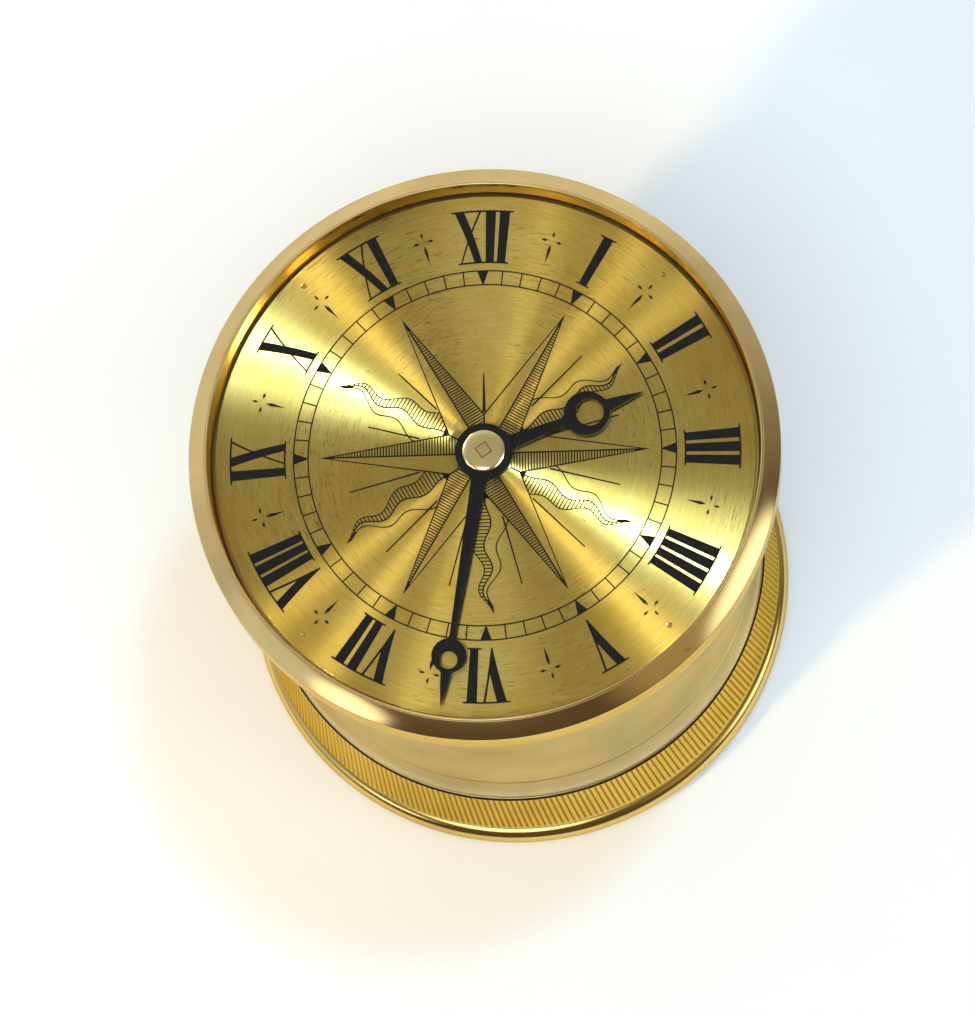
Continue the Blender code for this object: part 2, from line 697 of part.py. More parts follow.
def make_train():
    low, high = BACK_TOP_Z - 1.5 * MM, FRONT_LOW_Z + 1.5 * MM
    make_train_arbor("third_arbor", THIRD, CENTRE_PAIR, bearing(THIRD, CENTRE),
                     CENTRE_WHEEL_Z - 0.3 * MM, CENTRE_WHEEL_Z + 1.6 * MM, low, high)
    spoked_wheel("third_wheel", THIRD_PAIR, bearing(THIRD, FOURTH), THIRD,
                 THIRD_WHEEL_Z, 0.7 * MM, 0.8 * MM, 2.4 * MM)
    make_train_arbor("fourth_arbor", FOURTH, THIRD_PAIR, bearing(FOURTH, THIRD),
                     THIRD_WHEEL_Z - 0.5 * MM, THIRD_WHEEL_Z + 1.6 * MM, low, high)
    spoked_wheel("fourth_wheel", FOURTH_PAIR, bearing(FOURTH, ESCAPE), FOURTH,
                 FOURTH_WHEEL_Z, 0.6 * MM, 0.8 * MM, 2.2 * MM)
    make_train_arbor("escape_arbor", ESCAPE, FOURTH_PAIR, bearing(ESCAPE, FOURTH),
                     FOURTH_WHEEL_Z - 0.5 * MM, FOURTH_WHEEL_Z + 1.4 * MM,
                     LEVER_Z - 1.3 * MM, high)


# --------------------------------------------------------------- escapement
def make_escape_wheel():
    """Fifteen pointed teeth that lean forward, on four spokes."""
    loop = []
    for k in range(ESCAPE_TEETH):
        start = 360 * k / ESCAPE_TEETH
        loop.append(polar(ESCAPE_R, start))
        loop.append(polar(ESCAPE_R * 0.97, start + 1.6))
        loop.append(polar(ESCAPE_R * 0.76, start + 5.0))
        loop.append(polar(ESCAPE_R * 0.76, start + 14.0))
        loop.append(polar(ESCAPE_R * 0.88, start + 20.0))
    loops = [loop, circle(0.8 * MM, points=10)]
    loops += crossings(1.5 * MM, ESCAPE_R * 0.64, 4, 0.5 * MM)
    plate("escape_wheel", loops, ESCAPE_Z, ESCAPE_Z + 0.4 * MM, "plate_brass", ESCAPE)


def make_lever():
    """Anchor with two pallet arms over the escape wheel, and the fork."""
    to_balance = bearing(LEVER, BALANCE)

    def at(along, aside):
        reach = math.hypot(along, aside)
        turn = math.degrees(math.atan2(aside, along))
        return polar(reach, to_balance + turn)

    half = [
        at(3.9 * MM, 0.0),
        at(3.9 * MM, 0.28 * MM),
        at(4.75 * MM, 0.32 * MM),
        at(4.75 * MM, 0.75 * MM),
        at(3.6 * MM, 0.7 * MM),
        at(3.1 * MM, 0.38 * MM),
        at(0.9 * MM, 0.6 * MM),
        at(0.3 * MM, 1.6 * MM),
        at(-1.5 * MM, 4.1 * MM),
        at(-2.4 * MM, 4.75 * MM),
        at(-3.1 * MM, 4.6 * MM),
        at(-2.3 * MM, 3.9 * MM),
        at(-0.75 * MM, 1.2 * MM),
    ]
    mirrored = []
    for x, y in half[1:][::-1]:
        turn = math.atan2(y, x) - math.radians(to_balance)
        mirrored.append(polar(math.hypot(x, y), to_balance - math.degrees(turn)))
    loops = [half + mirrored, circle(0.5 * MM, points=10)]
    plate("pallet_lever", loops, ESCAPE_Z - 0.1 * MM, ESCAPE_Z + 0.5 * MM, "steel", LEVER)
    arbor("pallet_staff", [
        (0.3 * MM, BACK_LOW_Z, BACK_LOW_Z + 1.4 * MM),
        (0.42 * MM, LEVER_Z, BACK_LOW_Z - 0.05 * MM),
        (0.3 * MM, LEVER_Z - 1.3 * MM, LEVER_Z),
    ], LEVER, steps=10)


def make_pallet_cock():
    """Bridge under the escape wheel and the lever, on two feet."""
    low, high = BRIDGE_LOW_Z, BRIDGE_LOW_Z + MM
    across = bearing(ESCAPE, LEVER)
    feet = [polar(7.6 * MM, across - 180, ESCAPE), polar(8.4 * MM, across + 82, LEVER)]
    arms = [ESCAPE, LEVER]
    bridge = None
    for number, (foot, hole) in enumerate(zip(feet, arms), 1):
        turn = bearing(foot, hole)
        loop = arc(1.7 * MM, turn + 90, turn + 270, 6, foot)
        loop += arc(1.7 * MM, turn - 90, turn + 90, 6, hole)
        strip = plate(f"bridge_arm_{number}", [loop], low, high, None)
        if bridge is None:
            bridge = as_mesh(strip)
            bridge.name = "pallet_cock"
            finish(bridge, "plate_brass")
        else:
            join(bridge, strip)
        post = drill(f"bridge_foot_{number}", [foot], 1.7 * MM, low + 0.2 * MM,
                     BACK_LOW_Z - 0.05 * MM, 12)
        join(bridge, post)
    turn = bearing(ESCAPE, LEVER)
    loop = arc(1.7 * MM, turn + 90, turn + 270, 6, ESCAPE)
    loop += arc(1.7 * MM, turn - 90, turn + 90, 6, LEVER)
    join(bridge, plate("bridge_link", [loop], low, high, None))
    cut(bridge, drill("bridge_bores", arms, 0.55 * MM, low - MM, high + MM, 10))


def make_balance():
    """Balance wheel with two arms, its staff and the impulse roller."""
    rim = BALANCE_R - 1.1 * MM
    loops = [circle(BALANCE_R, points=28), circle(0.8 * MM, points=12)]
    loops += crossings(2.0 * MM, rim, 2, 1.2 * MM, 60)
    plate("balance_wheel", loops, BALANCE_Z - 1.0 * MM, BALANCE_Z, "plate_brass", BALANCE)
    arbor("balance_staff", [
        (0.25 * MM, BACK_LOW_Z - 0.1 * MM, BACK_LOW_Z + 1.4 * MM),
        (0.4 * MM, BALANCE_Z + 0.2 * MM, BACK_LOW_Z - 0.1 * MM),
        (0.7 * MM, BALANCE_Z - 2.4 * MM, BALANCE_Z + 0.2 * MM),
        (0.25 * MM, COCK_Z + 0.1 * MM, BALANCE_Z - 2.4 * MM),
    ], BALANCE, steps=10)
    plate("impulse_roller", [circle(1.1 * MM, points=16), circle(0.5 * MM, points=10)],
          ROLLER_Z, ROLLER_Z + 0.3 * MM, "steel", BALANCE)
    make_hairspring()


def make_hairspring():
    """Flat spiral between the balance and its cock."""
    inner, outer, turns, per_turn, half = 0.95 * MM, 4.6 * MM, 5, 11, 0.07 * MM
    count = turns * per_turn

    def side(offset):
        return [
            polar(inner + (outer - inner) * k / count + offset, 360 * k / per_turn)
            for k in range(count + 1)
        ]

    z = BALANCE_Z - 1.9 * MM
    loop = side(half) + side(-half)[::-1]
    plate("hairspring", [loop], z - 0.2 * MM, z + 0.2 * MM, "blued_steel", BALANCE)


def make_balance_cock():
    """Arm over the balance on one foot, with the regulator index on top of it."""
    low, high = COCK_Z, COCK_Z + 1.3 * MM
    foot = polar(11.2 * MM, 110, BALANCE)
    turn = bearing(foot, BALANCE)
    loop = arc(2.6 * MM, turn + 90, turn + 270, 9, foot)
    loop += arc(2.0 * MM, turn - 90, turn + 90, 9, BALANCE)
    cock = as_mesh(plate("balance_cock", [loop], low, high, "plate_brass"))
    post = drill("cock_foot", [foot], 2.5 * MM, low + 0.2 * MM, BACK_LOW_Z - 0.05 * MM, 16)
    join(cock, post)
    cut(cock, drill("cock_bore", [BALANCE], 0.4 * MM, low - MM, high + MM, 10))
    cut(cock, drill("cock_screw_hole", [foot], 0.95 * MM, low - MM, high + 3 * MM, 10))
    make_screw("cock_screw", foot, high + 2.6 * MM, low - 0.05 * MM, 0.8 * MM, 1.5 * MM,
               0.9 * MM)
    index_low = low - 0.75 * MM
    aim = turn - 55
    arm = [polar(0.35 * MM, aim - 90, polar(8.4 * MM, aim)),
           polar(0.35 * MM, aim + 90, polar(8.4 * MM, aim))]
    loops = [arc(1.9 * MM, aim + 20, aim + 340, 14) + arm, circle(0.6 * MM, points=10)]
    plate("regulator_index", loops, index_low, index_low + 0.5 * MM, "steel", BALANCE)


# -------------------------------------------------------------- motion work
def make_motion_work():
    """Cannon pinion, minute wheel on its stud, and the hour wheel with its pipe."""
    toward = bearing(CENTRE, MINUTE)
    pipe_top = DIAL_Z + 0.9 * MM
    loops = [pinion_outline(MINUTE_PAIR, toward), circle(0.8 * MM, points=12)]
    cannon = as_mesh(plate("cannon_pinion", loops, MOTION_Z, MOTION_Z + 1.5 * MM, "steel"))
    pipe = tube_profile(0.8 * MM, 1.25 * MM, MOTION_Z + 0.5 * MM, DIAL_Z - 0.35 * MM)
    join(cannon, turned("cannon_pipe", pipe, None, steps=12))
    hour_z = MOTION_Z + 2.0 * MM
    loops = [wheel_outline(HOUR_PAIR, toward), circle(1.45 * MM, points=12)]
    hour = as_mesh(plate("hour_wheel", loops, hour_z, hour_z + 0.7 * MM, "plate_brass"))
    pipe = tube_profile(1.45 * MM, 2.0 * MM, hour_z + 0.2 * MM, pipe_top)
    join(hour, turned("hour_pipe", pipe, None, steps=16))
    loops = [wheel_outline(MINUTE_PAIR, bearing(MINUTE, CENTRE)), circle(0.7 * MM, points=10)]
    minute = as_mesh(plate("minute_wheel", loops, MOTION_Z + 0.4 * MM,
                           MOTION_Z + 1.1 * MM, "plate_brass", MINUTE))
    leaves = [pinion_outline(HOUR_PAIR, bearing(MINUTE, CENTRE)), circle(0.7 * MM, points=10)]
    join(minute, plate("minute_leaves", leaves, MOTION_Z + 0.9 * MM, hour_z + 0.9 * MM,
                       None, MINUTE))
    solid_turned("minute_stud", [
        (0.55 * MM, hour_z + 1.1 * MM),
        (0.55 * MM, FRONT_TOP_Z + 0.05 * MM),
    ], "steel", (*MINUTE, 0.0), 10)


# -------------------------------------------------------------------- hands
def hand_outline(hub_r, start_w, end_w, ring_at, ring_r, spear_w, tip_at):
    """Round hub, tapering shaft, ring and spear tip, pointing towards +Y."""
    start = math.degrees(math.asin(start_w / 2 / hub_r))
    meet = math.degrees(math.asin(end_w / 2 / ring_r))
    leave = math.degrees(math.asin(spear_w / 2 / ring_r))
    ring = (0.0, ring_at)
    loop = arc(hub_r, 90 + start, 450 - start, 16)
    loop += arc(ring_r, -90 + meet, 90 - leave, 7, ring)
    loop.append((0.0, tip_at))
    loop += arc(ring_r, 90 + leave, 270 - meet, 7, ring)
    return loop


def make_hands():
    """Hour hand below, minute hand above it, and the domed collet."""
    hour_low, minute_low = DIAL_Z + 0.35 * MM, DIAL_Z + 0.95 * MM
    hour = hand_outline(3.9 * MM, 1.95 * MM, 1.2 * MM, 14.8 * MM, 3.1 * MM, 1.7 * MM,
                        23.0 * MM)
    loops = [hour, circle(1.9 * MM, (0.0, 14.8 * MM), 16), circle(2.1 * MM, points=16)]
    hand = plate("hour_hand", loops, hour_low, hour_low + 0.35 * MM, "black_steel")
    hand.rotation_euler[2] = -math.radians(HOUR_HAND_ANGLE)
    minute = hand_outline(3.9 * MM, 2.1 * MM, 0.75 * MM, 28.6 * MM, 2.35 * MM, 1.45 * MM,
                          35.5 * MM)
    square = circle(SQUARE_HOLE_HALF * math.sqrt(2), points=4)
    loops = [minute, circle(1.3 * MM, (0.0, 29.1 * MM), 14), square]
    hand = plate("minute_hand", loops, minute_low, minute_low + 0.35 * MM, "black_steel")
    hand.rotation_euler[2] = -math.radians(MINUTE_HAND_ANGLE)
    make_collet(minute_low + 0.4 * MM, SQUARE_TOP_Z)


def make_collet(low, high):
    """Low brass dome with a square hole for the end of the arbor."""
    radius, rise = 2.9 * MM, high - low
    dome = [
        (radius * math.sin(t), low + 0.15 * MM + (rise - 0.15 * MM) * math.cos(t))
        for t in [math.radians(a) for a in (25, 45, 65, 80, 90)]
    ]
    collet = solid_turned("hand_collet", dome + [(radius, low)], "polished_brass", steps=16)
    square = circle(SQUARE_HOLE_HALF * math.sqrt(2), points=4, start=-MINUTE_HAND_ANGLE)
    cut(collet, plate("collet_square", [square], low - MM, high + MM, None))


def smooth_round_pieces():
    """Shade the turned and curved pieces smooth, with creases kept sharp."""
    for obj in PARTS.objects:
        if obj.type == "MESH":
            obj.data.shade_smooth()
            obj.data.set_sharp_from_angle(angle=math.radians(35))


for leftover in list(bpy.data.objects):
    bpy.data.objects.remove(leftover)
PARTS = collection("drum_desk_clock")
CUTTERS = collection("cutters")
make_drum()
make_foot()
make_bezel()
make_glass()
make_reflector()
make_dial()
make_back_cover()
make_plates()
make_barrel()
make_winding()
make_click()
make_centre()
make_train()
make_escape_wheel()
make_lever()
make_pallet_cock()
make_balance()
make_balance_cock()
make_motion_work()
make_hands()
smooth_round_pieces()
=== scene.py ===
"""Looks of the drum desk clock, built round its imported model.

Turned and brushed brass for the case, black enamel figures and a compass rose on the
dial, a reeded foot ring, blackened hands and a domed collet. The dial faces up.
"""

import json
import math

import bmesh
import bpy
import numpy as np
from mathutils import Matrix, Vector
from mathutils.geometry import delaunay_2d_cdt

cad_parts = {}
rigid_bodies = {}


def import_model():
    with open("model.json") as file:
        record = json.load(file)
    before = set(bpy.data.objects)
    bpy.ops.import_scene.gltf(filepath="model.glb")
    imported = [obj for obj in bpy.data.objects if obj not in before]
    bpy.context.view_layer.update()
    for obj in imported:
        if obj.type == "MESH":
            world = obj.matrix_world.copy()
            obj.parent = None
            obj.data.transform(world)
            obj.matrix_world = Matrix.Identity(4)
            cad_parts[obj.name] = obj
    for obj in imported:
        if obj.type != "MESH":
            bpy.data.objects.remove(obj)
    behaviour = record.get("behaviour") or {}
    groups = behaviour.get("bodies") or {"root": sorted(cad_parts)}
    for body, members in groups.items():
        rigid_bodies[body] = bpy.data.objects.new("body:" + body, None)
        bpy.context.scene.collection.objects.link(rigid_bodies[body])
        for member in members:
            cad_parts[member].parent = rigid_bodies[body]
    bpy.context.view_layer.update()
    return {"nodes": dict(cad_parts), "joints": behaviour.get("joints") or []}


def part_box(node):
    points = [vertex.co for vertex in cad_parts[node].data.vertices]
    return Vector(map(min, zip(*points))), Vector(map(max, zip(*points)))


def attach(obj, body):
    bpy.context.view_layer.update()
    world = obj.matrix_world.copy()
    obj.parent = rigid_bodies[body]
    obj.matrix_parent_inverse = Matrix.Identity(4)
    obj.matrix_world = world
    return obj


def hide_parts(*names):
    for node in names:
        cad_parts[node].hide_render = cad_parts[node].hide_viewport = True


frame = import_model()

SCENE = bpy.context.scene
MM = 0.001
ROUND = 256
# Edges sharper than this, in degrees, stay creased on turned and on flat pieces.
TURNED_ANGLE, FLAT_ANGLE = 35, 15


# --- places from the frame
def heights(node):
    """Lowest and highest z of a node."""
    low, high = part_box(node)
    return low.z, high.z


def axis_of(node):
    """Centre of a node in plan."""
    low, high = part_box(node)
    return ((low.x + high.x) / 2, (low.y + high.y) / 2)


def joint_point(name):
    """A joint's place in plan."""
    joint = next(j for j in frame["joints"] if j["name"] == name)
    return (joint["pos_m"][0], joint["pos_m"][1])


def tip_angle(node):
    """Direction of a hand's tip, in degrees anticlockwise from +X."""
    tip = max(frame["nodes"][node].data.vertices, key=lambda v: v.co.xy.length).co
    return math.degrees(math.atan2(tip.y, tip.x))


DIAL_LOW_Z, FACE_Z = heights("dial_plate")
DIAL_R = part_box("dial_plate")[1].x
TRACK_R = 0.7024 * DIAL_R
BEZEL_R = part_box("bezel")[1].x
DRUM_LOW_Z, DRUM_HIGH_Z = heights("case_drum")
GLASS_LOW_Z, GLASS_HIGH_Z = heights("glass")
GLASS_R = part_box("glass")[1].x
FOOT_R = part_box("base_ring")[1].x
REEDS = 280
REED_TOP_Z = heights("base_ring")[1]
REED_LOW_Z = 7.2 * MM
REED_TOP_R = 36.72 * MM
REED_LOW_R = 38.5 * MM
# The bore of the foot ring is nearer the axis than this, and has no reeds.
REEDED_FROM_R = 36.0 * MM
FLANGE_R = 38.4 * MM
MINUTE_ANGLE = tip_angle("minute_hand")
HOUR_ANGLE = tip_angle("hour_hand")
BARREL = joint_point("winding_turn")


# --- mesh tools
def polar(radius, degrees, centre=(0.0, 0.0)):
    turn = math.radians(degrees)
    return (centre[0] + radius * math.cos(turn), centre[1] + radius * math.sin(turn))


def arc(radius, first, last, points, centre=(0.0, 0.0)):
    """Points along an arc, both ends included."""
    step = (last - first) / (points - 1)
    return [polar(radius, first + step * k, centre) for k in range(points)]


def circle(radius, centre=(0.0, 0.0), points=64):
    return [polar(radius, 360 * k / points, centre) for k in range(points)]


def curve_point(a, b, c, t):
    """Point at t on the quadratic curve from a to c that is drawn towards b."""
    return tuple(
        p * (1 - t) ** 2 + 2 * q * t * (1 - t) + r * t * t for p, q, r in zip(a, b, c)
    )


def rounded(corners, points=5):
    """A closed outline from (x, y, radius) corners, each turned into an arc."""
    outline = []
    for i, (x, y, radius) in enumerate(corners):
        here = Vector((x, y))
        back = Vector(corners[i - 1][:2]) - here
        ahead = Vector(corners[(i + 1) % len(corners)][:2]) - here
        if radius == 0:
            outline.append((x, y))
            continue
        reach = radius / math.tan(back.angle(ahead) / 2)
        reach = min(reach, back.length * 0.48, ahead.length * 0.48)
        start = here + back.normalized() * reach
        end = here + ahead.normalized() * reach
        for k in range(points):
            outline.append(curve_point(start, here, end, k / (points - 1)))
    return outline


def smooth(mesh, crease_angle):
    """Shade a mesh smooth, except over the edges that are sharper than this."""
    mesh.shade_smooth()
    mesh.set_sharp_from_angle(angle=math.radians(crease_angle))


def new_piece(name, mesh, crease_angle):
    """Link a mesh as a piece."""
    piece = bpy.data.objects.new(name, mesh)
    SCENE.collection.objects.link(piece)
    smooth(mesh, crease_angle)
    return piece


def clean(work):
    """Weld the seams of a bmesh and turn its faces outwards."""
    bmesh.ops.remove_doubles(work, verts=work.verts, dist=1e-7)
    bmesh.ops.recalc_face_normals(work, faces=work.faces)


def mesh_of(work, name):
    """Turn a bmesh into a mesh."""
    mesh = bpy.data.meshes.new(name)
    work.to_mesh(mesh)
    work.free()
    return mesh


def lathe(name, profile, steps=ROUND, at=(0.0, 0.0), ripple=None, twist=None,
          crease_angle=TURNED_ANGLE):
    """Turn a closed profile of (radius, height) points about an upright line.

    ripple(turn, radius, height) gives how far a point moves inwards, for reeding and
    knurling, and twist(height) how far round it moves.
    """
    work = bmesh.new()
    rings = []
    for k in range(steps):
        turn = 2 * math.pi * k / steps
        ring = []
        for radius, z in profile:
            if ripple:
                radius -= ripple(turn, radius, z)
            way = turn + twist(z) if twist else turn
            x, y = at[0] + radius * math.cos(way), at[1] + radius * math.sin(way)
            ring.append(work.verts.new((x, y, z)))
        rings.append(ring)
    count = len(profile)
    for k in range(steps):
        here, there = rings[k], rings[(k + 1) % steps]
        for i in range(count):
            j = (i + 1) % count
            if profile[i][0] > 0 or profile[j][0] > 0:
                work.faces.new((here[i], here[j], there[j], there[i]))
    clean(work)
    return new_piece(name, mesh_of(work, name), crease_angle)


def inside_an_odd_number(points, loops):
    """Which points lie inside an odd number of the closed loops."""
    odd = np.zeros(len(points), bool)
    x, y = points[:, 0], points[:, 1]
    for loop in loops:
        ends = np.asarray(loop)
        for (x0, y0), (x1, y1) in zip(ends, np.roll(ends, -1, axis=0)):
            if y0 != y1:
                beyond = x < x0 + (y - y0) * (x1 - x0) / (y1 - y0)
                odd ^= beyond & ((y0 <= y) != (y1 <= y))
    return odd


def printed(name, loops, low, high):
    """A thin printed layer: closed outlines, with those inside as holes."""
    points, edges = [], []
    for loop in loops:
        first = len(points)
        points += [Vector((x / MM, y / MM)) for x, y in loop]
        edges += [(first + i, first + (i + 1) % len(loop)) for i in range(len(loop))]
    corners, _, faces = delaunay_2d_cdt(points, edges, [], 0, 1e-6)[:3]
    flat = np.array([(v.x * MM, v.y * MM) for v in corners])
    middles = flat[np.array(faces)].mean(axis=1)
    faces = [f for f, odd in zip(faces, inside_an_odd_number(middles, loops)) if odd]
    work = bmesh.new()
    lower = [work.verts.new((x, y, low)) for x, y in flat]
    upper = [work.verts.new((x, y, high)) for x, y in flat]
    single = set()
    for face in faces:
        work.faces.new([upper[i] for i in face])
        work.faces.new([lower[i] for i in face[::-1]])
        for edge in zip(face, face[1:] + face[:1]):
            if edge[::-1] in single:
                single.remove(edge[::-1])
            else:
                single.add(edge)
    for a, b in sorted(single):
        work.faces.new((lower[a], lower[b], upper[b], upper[a]))
    loose = [vert for vert in work.verts if not vert.link_faces]
    bmesh.ops.delete(work, geom=loose, context="VERTS")
    bmesh.ops.recalc_face_normals(work, faces=work.faces)
    return new_piece(name, mesh_of(work, name), FLAT_ANGLE)


def plate(name, loops, low, high, bevel=0.0):
    """A flat piece between two heights: closed outlines, with those inside as holes."""
    # The filler loses details below about 0.03 units, so the curve is drawn in mm.
    curve = bpy.data.curves.new(name, "CURVE")
    curve.dimensions = "2D"
    curve.fill_mode = "BOTH"
    curve.extrude = ((high - low) / 2 - bevel) / MM
    curve.bevel_depth = bevel / MM
    curve.bevel_resolution = 1
    curve.offset = -bevel / MM
    for loop in loops:
        spline = curve.splines.new("POLY")
        spline.points.add(len(loop) - 1)
        for point, (x, y) in zip(spline.points, loop):
            point.co = (x / MM, y / MM, 0.0, 1.0)
        spline.use_cyclic_u = True
    helper = bpy.data.objects.new(name, curve)
    SCENE.collection.objects.link(helper)
    bpy.context.view_layer.update()
    graph = bpy.context.evaluated_depsgraph_get()
    mesh = bpy.data.meshes.new_from_object(helper.evaluated_get(graph))
    bpy.data.objects.remove(helper)
    mesh.transform(Matrix.Translation((0.0, 0.0, (low + high) / 2)) @ Matrix.Scale(MM, 4))
    work = bmesh.new()
    work.from_mesh(mesh)
    clean(work)
    work.to_mesh(mesh)
    work.free()
    return new_piece(name, mesh, FLAT_ANGLE)


def apply_boolean(piece, other, operation):
    """Cut or join two pieces, and keep only the result."""
    modifier = piece.modifiers.new("boolean", "BOOLEAN")
    modifier.operation = operation
    modifier.solver = "EXACT"
    modifier.object = other
    bpy.context.view_layer.update()
    graph = bpy.context.evaluated_depsgraph_get()
    mesh = bpy.data.meshes.new_from_object(piece.evaluated_get(graph))
    piece.modifiers.clear()
    piece.data = mesh
    bpy.data.objects.remove(other)
    smooth(mesh, TURNED_ANGLE)


# --- material tools
class Tree:
    """Short ways to build a node tree."""

    def __init__(self, tree):
        self.tree = tree

    def node(self, kind, **settings):
        made = self.tree.nodes.new("ShaderNode" + kind)
        for name, value in settings.items():
            setattr(made, name, value)
        return made

    def feed(self, socket, value):
        """Link an output to a socket, or set the socket to a plain value."""
        if isinstance(value, bpy.types.NodeSocket):
            self.tree.links.new(value, socket)
        elif value is not None:
            socket.default_value = value

    def math(self, operation, first, second):
        made = self.node("Math", operation=operation)
        self.feed(made.inputs[0], first)
        self.feed(made.inputs[1], second)
        return made.outputs[0]

    def times(self, first, second):
        return self.math("MULTIPLY", first, second)

    def vector(self, operation, first, second=None, output=0):
        made = self.node("VectorMath", operation=operation)
        self.feed(made.inputs[0], first)
        self.feed(made.inputs[1], second)
        return made.outputs[output]

    def spread(self, value, low, high, to_low=0.0, to_high=1.0):
        """Map a stretch of values onto another, and clamp it."""
        made = self.node("MapRange", clamp=True)
        for socket, number in zip(made.inputs[1:5], (low, high, to_low, to_high)):
            socket.default_value = number
        self.feed(made.inputs[0], value)
        return made.outputs[0]

    def blend(self, share, first, second):
        """Colour between two others."""
        made = self.node("Mix", data_type="RGBA")
        self.feed(made.inputs[0], share)
        for socket, value in ((made.inputs[6], first), (made.inputs[7], second)):
            if isinstance(value, tuple) and len(value) == 3:
                value = (*value, 1.0)
            self.feed(socket, value)
        return made.outputs[2]


class Finish(Tree):
    """A Principled material and what its node tree is built from."""

    def __init__(self, name):
        self.material = bpy.data.materials.new(name)
        self.material.use_nodes = True
        super().__init__(self.material.node_tree)
        self.shader = self.tree.nodes["Principled BSDF"]

    def set(self, **values):
        for name, value in values.items():
            self.feed(self.shader.inputs[name.replace("_", " ")], value)

    def place(self):
        return self.node("TexCoord").outputs["Object"]

    def stretched(self, scale):
        """Object coordinates scaled by a vector, in features to the metre."""
        made = self.node("Mapping")
        made.inputs["Scale"].default_value = scale
        self.feed(made.inputs["Vector"], self.place())
        return made.outputs[0]

    def from_line(self, centre=(0.0, 0.0)):
        """Vector from an upright line, the distance from it and the height."""
        moved = self.vector("SUBTRACT", self.place(), (*centre, 0.0))
        flat = self.vector("MULTIPLY", moved, (1.0, 1.0, 0.0))
        parts = self.node("SeparateXYZ")
        self.feed(parts.inputs[0], moved)
        return flat, self.vector("LENGTH", flat, output="Value"), parts.outputs["Z"]

    def round_lines(self, across, around, centre=(0.0, 0.0)):
        """Coordinates whose noise runs in circles about an upright line."""
        flat, radius, height = self.from_line(centre)
        turned = self.node("VectorMath", operation="SCALE")
        self.feed(turned.inputs[0], self.vector("NORMALIZE", flat))
        turned.inputs["Scale"].default_value = around
        up = self.node("CombineXYZ")
        self.feed(up.inputs["Z"], self.times(self.math("ADD", radius, height), across))
        return self.vector("ADD", turned.outputs[0], up.outputs[0])

    def noise(self, vector, scale, detail, rough=0.55):
        made = self.node("TexNoise")
        self.feed(made.inputs["Vector"], vector)
        made.inputs["Scale"].default_value = scale
        made.inputs["Detail"].default_value = detail
        made.inputs["Roughness"].default_value = rough
        return made.outputs[0]

    def cloud(self, scale, detail, rough=0.55):
        """Noise without a direction, with its features to the metre."""
        return self.noise(self.place(), scale, detail, rough)

    def brushed(self, amount):
        """Stretch highlights across lines that run round the upright axis."""
        tangent = self.node("Tangent", direction_type="RADIAL", axis="Z")
        self.set(Anisotropic=amount, Anisotropic_Rotation=0.25, Tangent=tangent.outputs[0])

    def bump(self, height, depth):
        made = self.node("Bump")
        made.inputs["Strength"].default_value = 1.0
        made.inputs["Distance"].default_value = depth
        self.feed(made.inputs["Height"], height)
        self.feed(self.shader.inputs["Normal"], made.outputs[0])


def wear(finish, colour, spots):
    """Cloudy tone and small tarnish specks over a metal's colour."""
    cloud = finish.cloud(55.0, 4.0)
    darker = tuple(c * 0.80 for c in colour)
    lighter = tuple(min(1.0, c * 1.10) for c in colour)
    tone = finish.blend(finish.spread(cloud, 0.3, 0.7), darker, lighter)
    speck = finish.spread(finish.cloud(900.0, 2.0), 0.70, 0.76)
    area = finish.spread(finish.cloud(120.0, 2.0), 0.45, 0.65)
    share = finish.times(finish.times(speck, area), spots)
    return finish.blend(share, tone, (0.20, 0.10, 0.03))


def turned_finish(name, colour, roughness, lines, stretch, centre=(0.0, 0.0)):
    """Metal turned on a lathe: fine lines run round it, and highlights cross them."""
    finish = Finish(name)
    fine = finish.noise(finish.round_lines(14000.0, 7.0, centre), 1.0, 2.0)
    broad = finish.noise(finish.round_lines(2600.0, 2.5, centre), 1.0, 3.0)
    tone = wear(finish, colour, 0.4)
    shade = finish.spread(broad, 0.35, 0.65)
    darker = tuple(c * 0.72 for c in colour)
    tone = finish.blend(finish.times(shade, 0.35 * lines), tone, darker)
    rough = finish.spread(fine, 0.25, 0.75, roughness * 0.8, roughness * 1.2)
    finish.set(Base_Color=tone, Metallic=1.0, Roughness=rough,
               Specular_Tint=(*colour, 1.0))
    if stretch:
        finish.brushed(stretch)
    finish.bump(finish.math("ADD", fine, finish.times(broad, 1.6)), 0.004 * MM * lines)
    return finish


def turned_metal(*look, **place):
    return turned_finish(*look, **place).material


def grained_metal(name, colour, roughness):
    """Metal with a fine straight grain."""
    finish = Finish(name)
    lines = finish.noise(finish.stretched((900.0, 16000.0, 900.0)), 1.0, 3.0)
    tone = wear(finish, colour, 0.25)
    darker = tuple(c * 0.75 for c in colour)
    tone = finish.blend(finish.times(lines, 0.4), tone, darker)
    rough = finish.spread(lines, 0.3, 0.7, roughness * 0.75, roughness * 1.25)
    finish.set(Base_Color=tone, Metallic=1.0, Roughness=rough)
    finish.bump(lines, 0.004 * MM)
    return finish.material


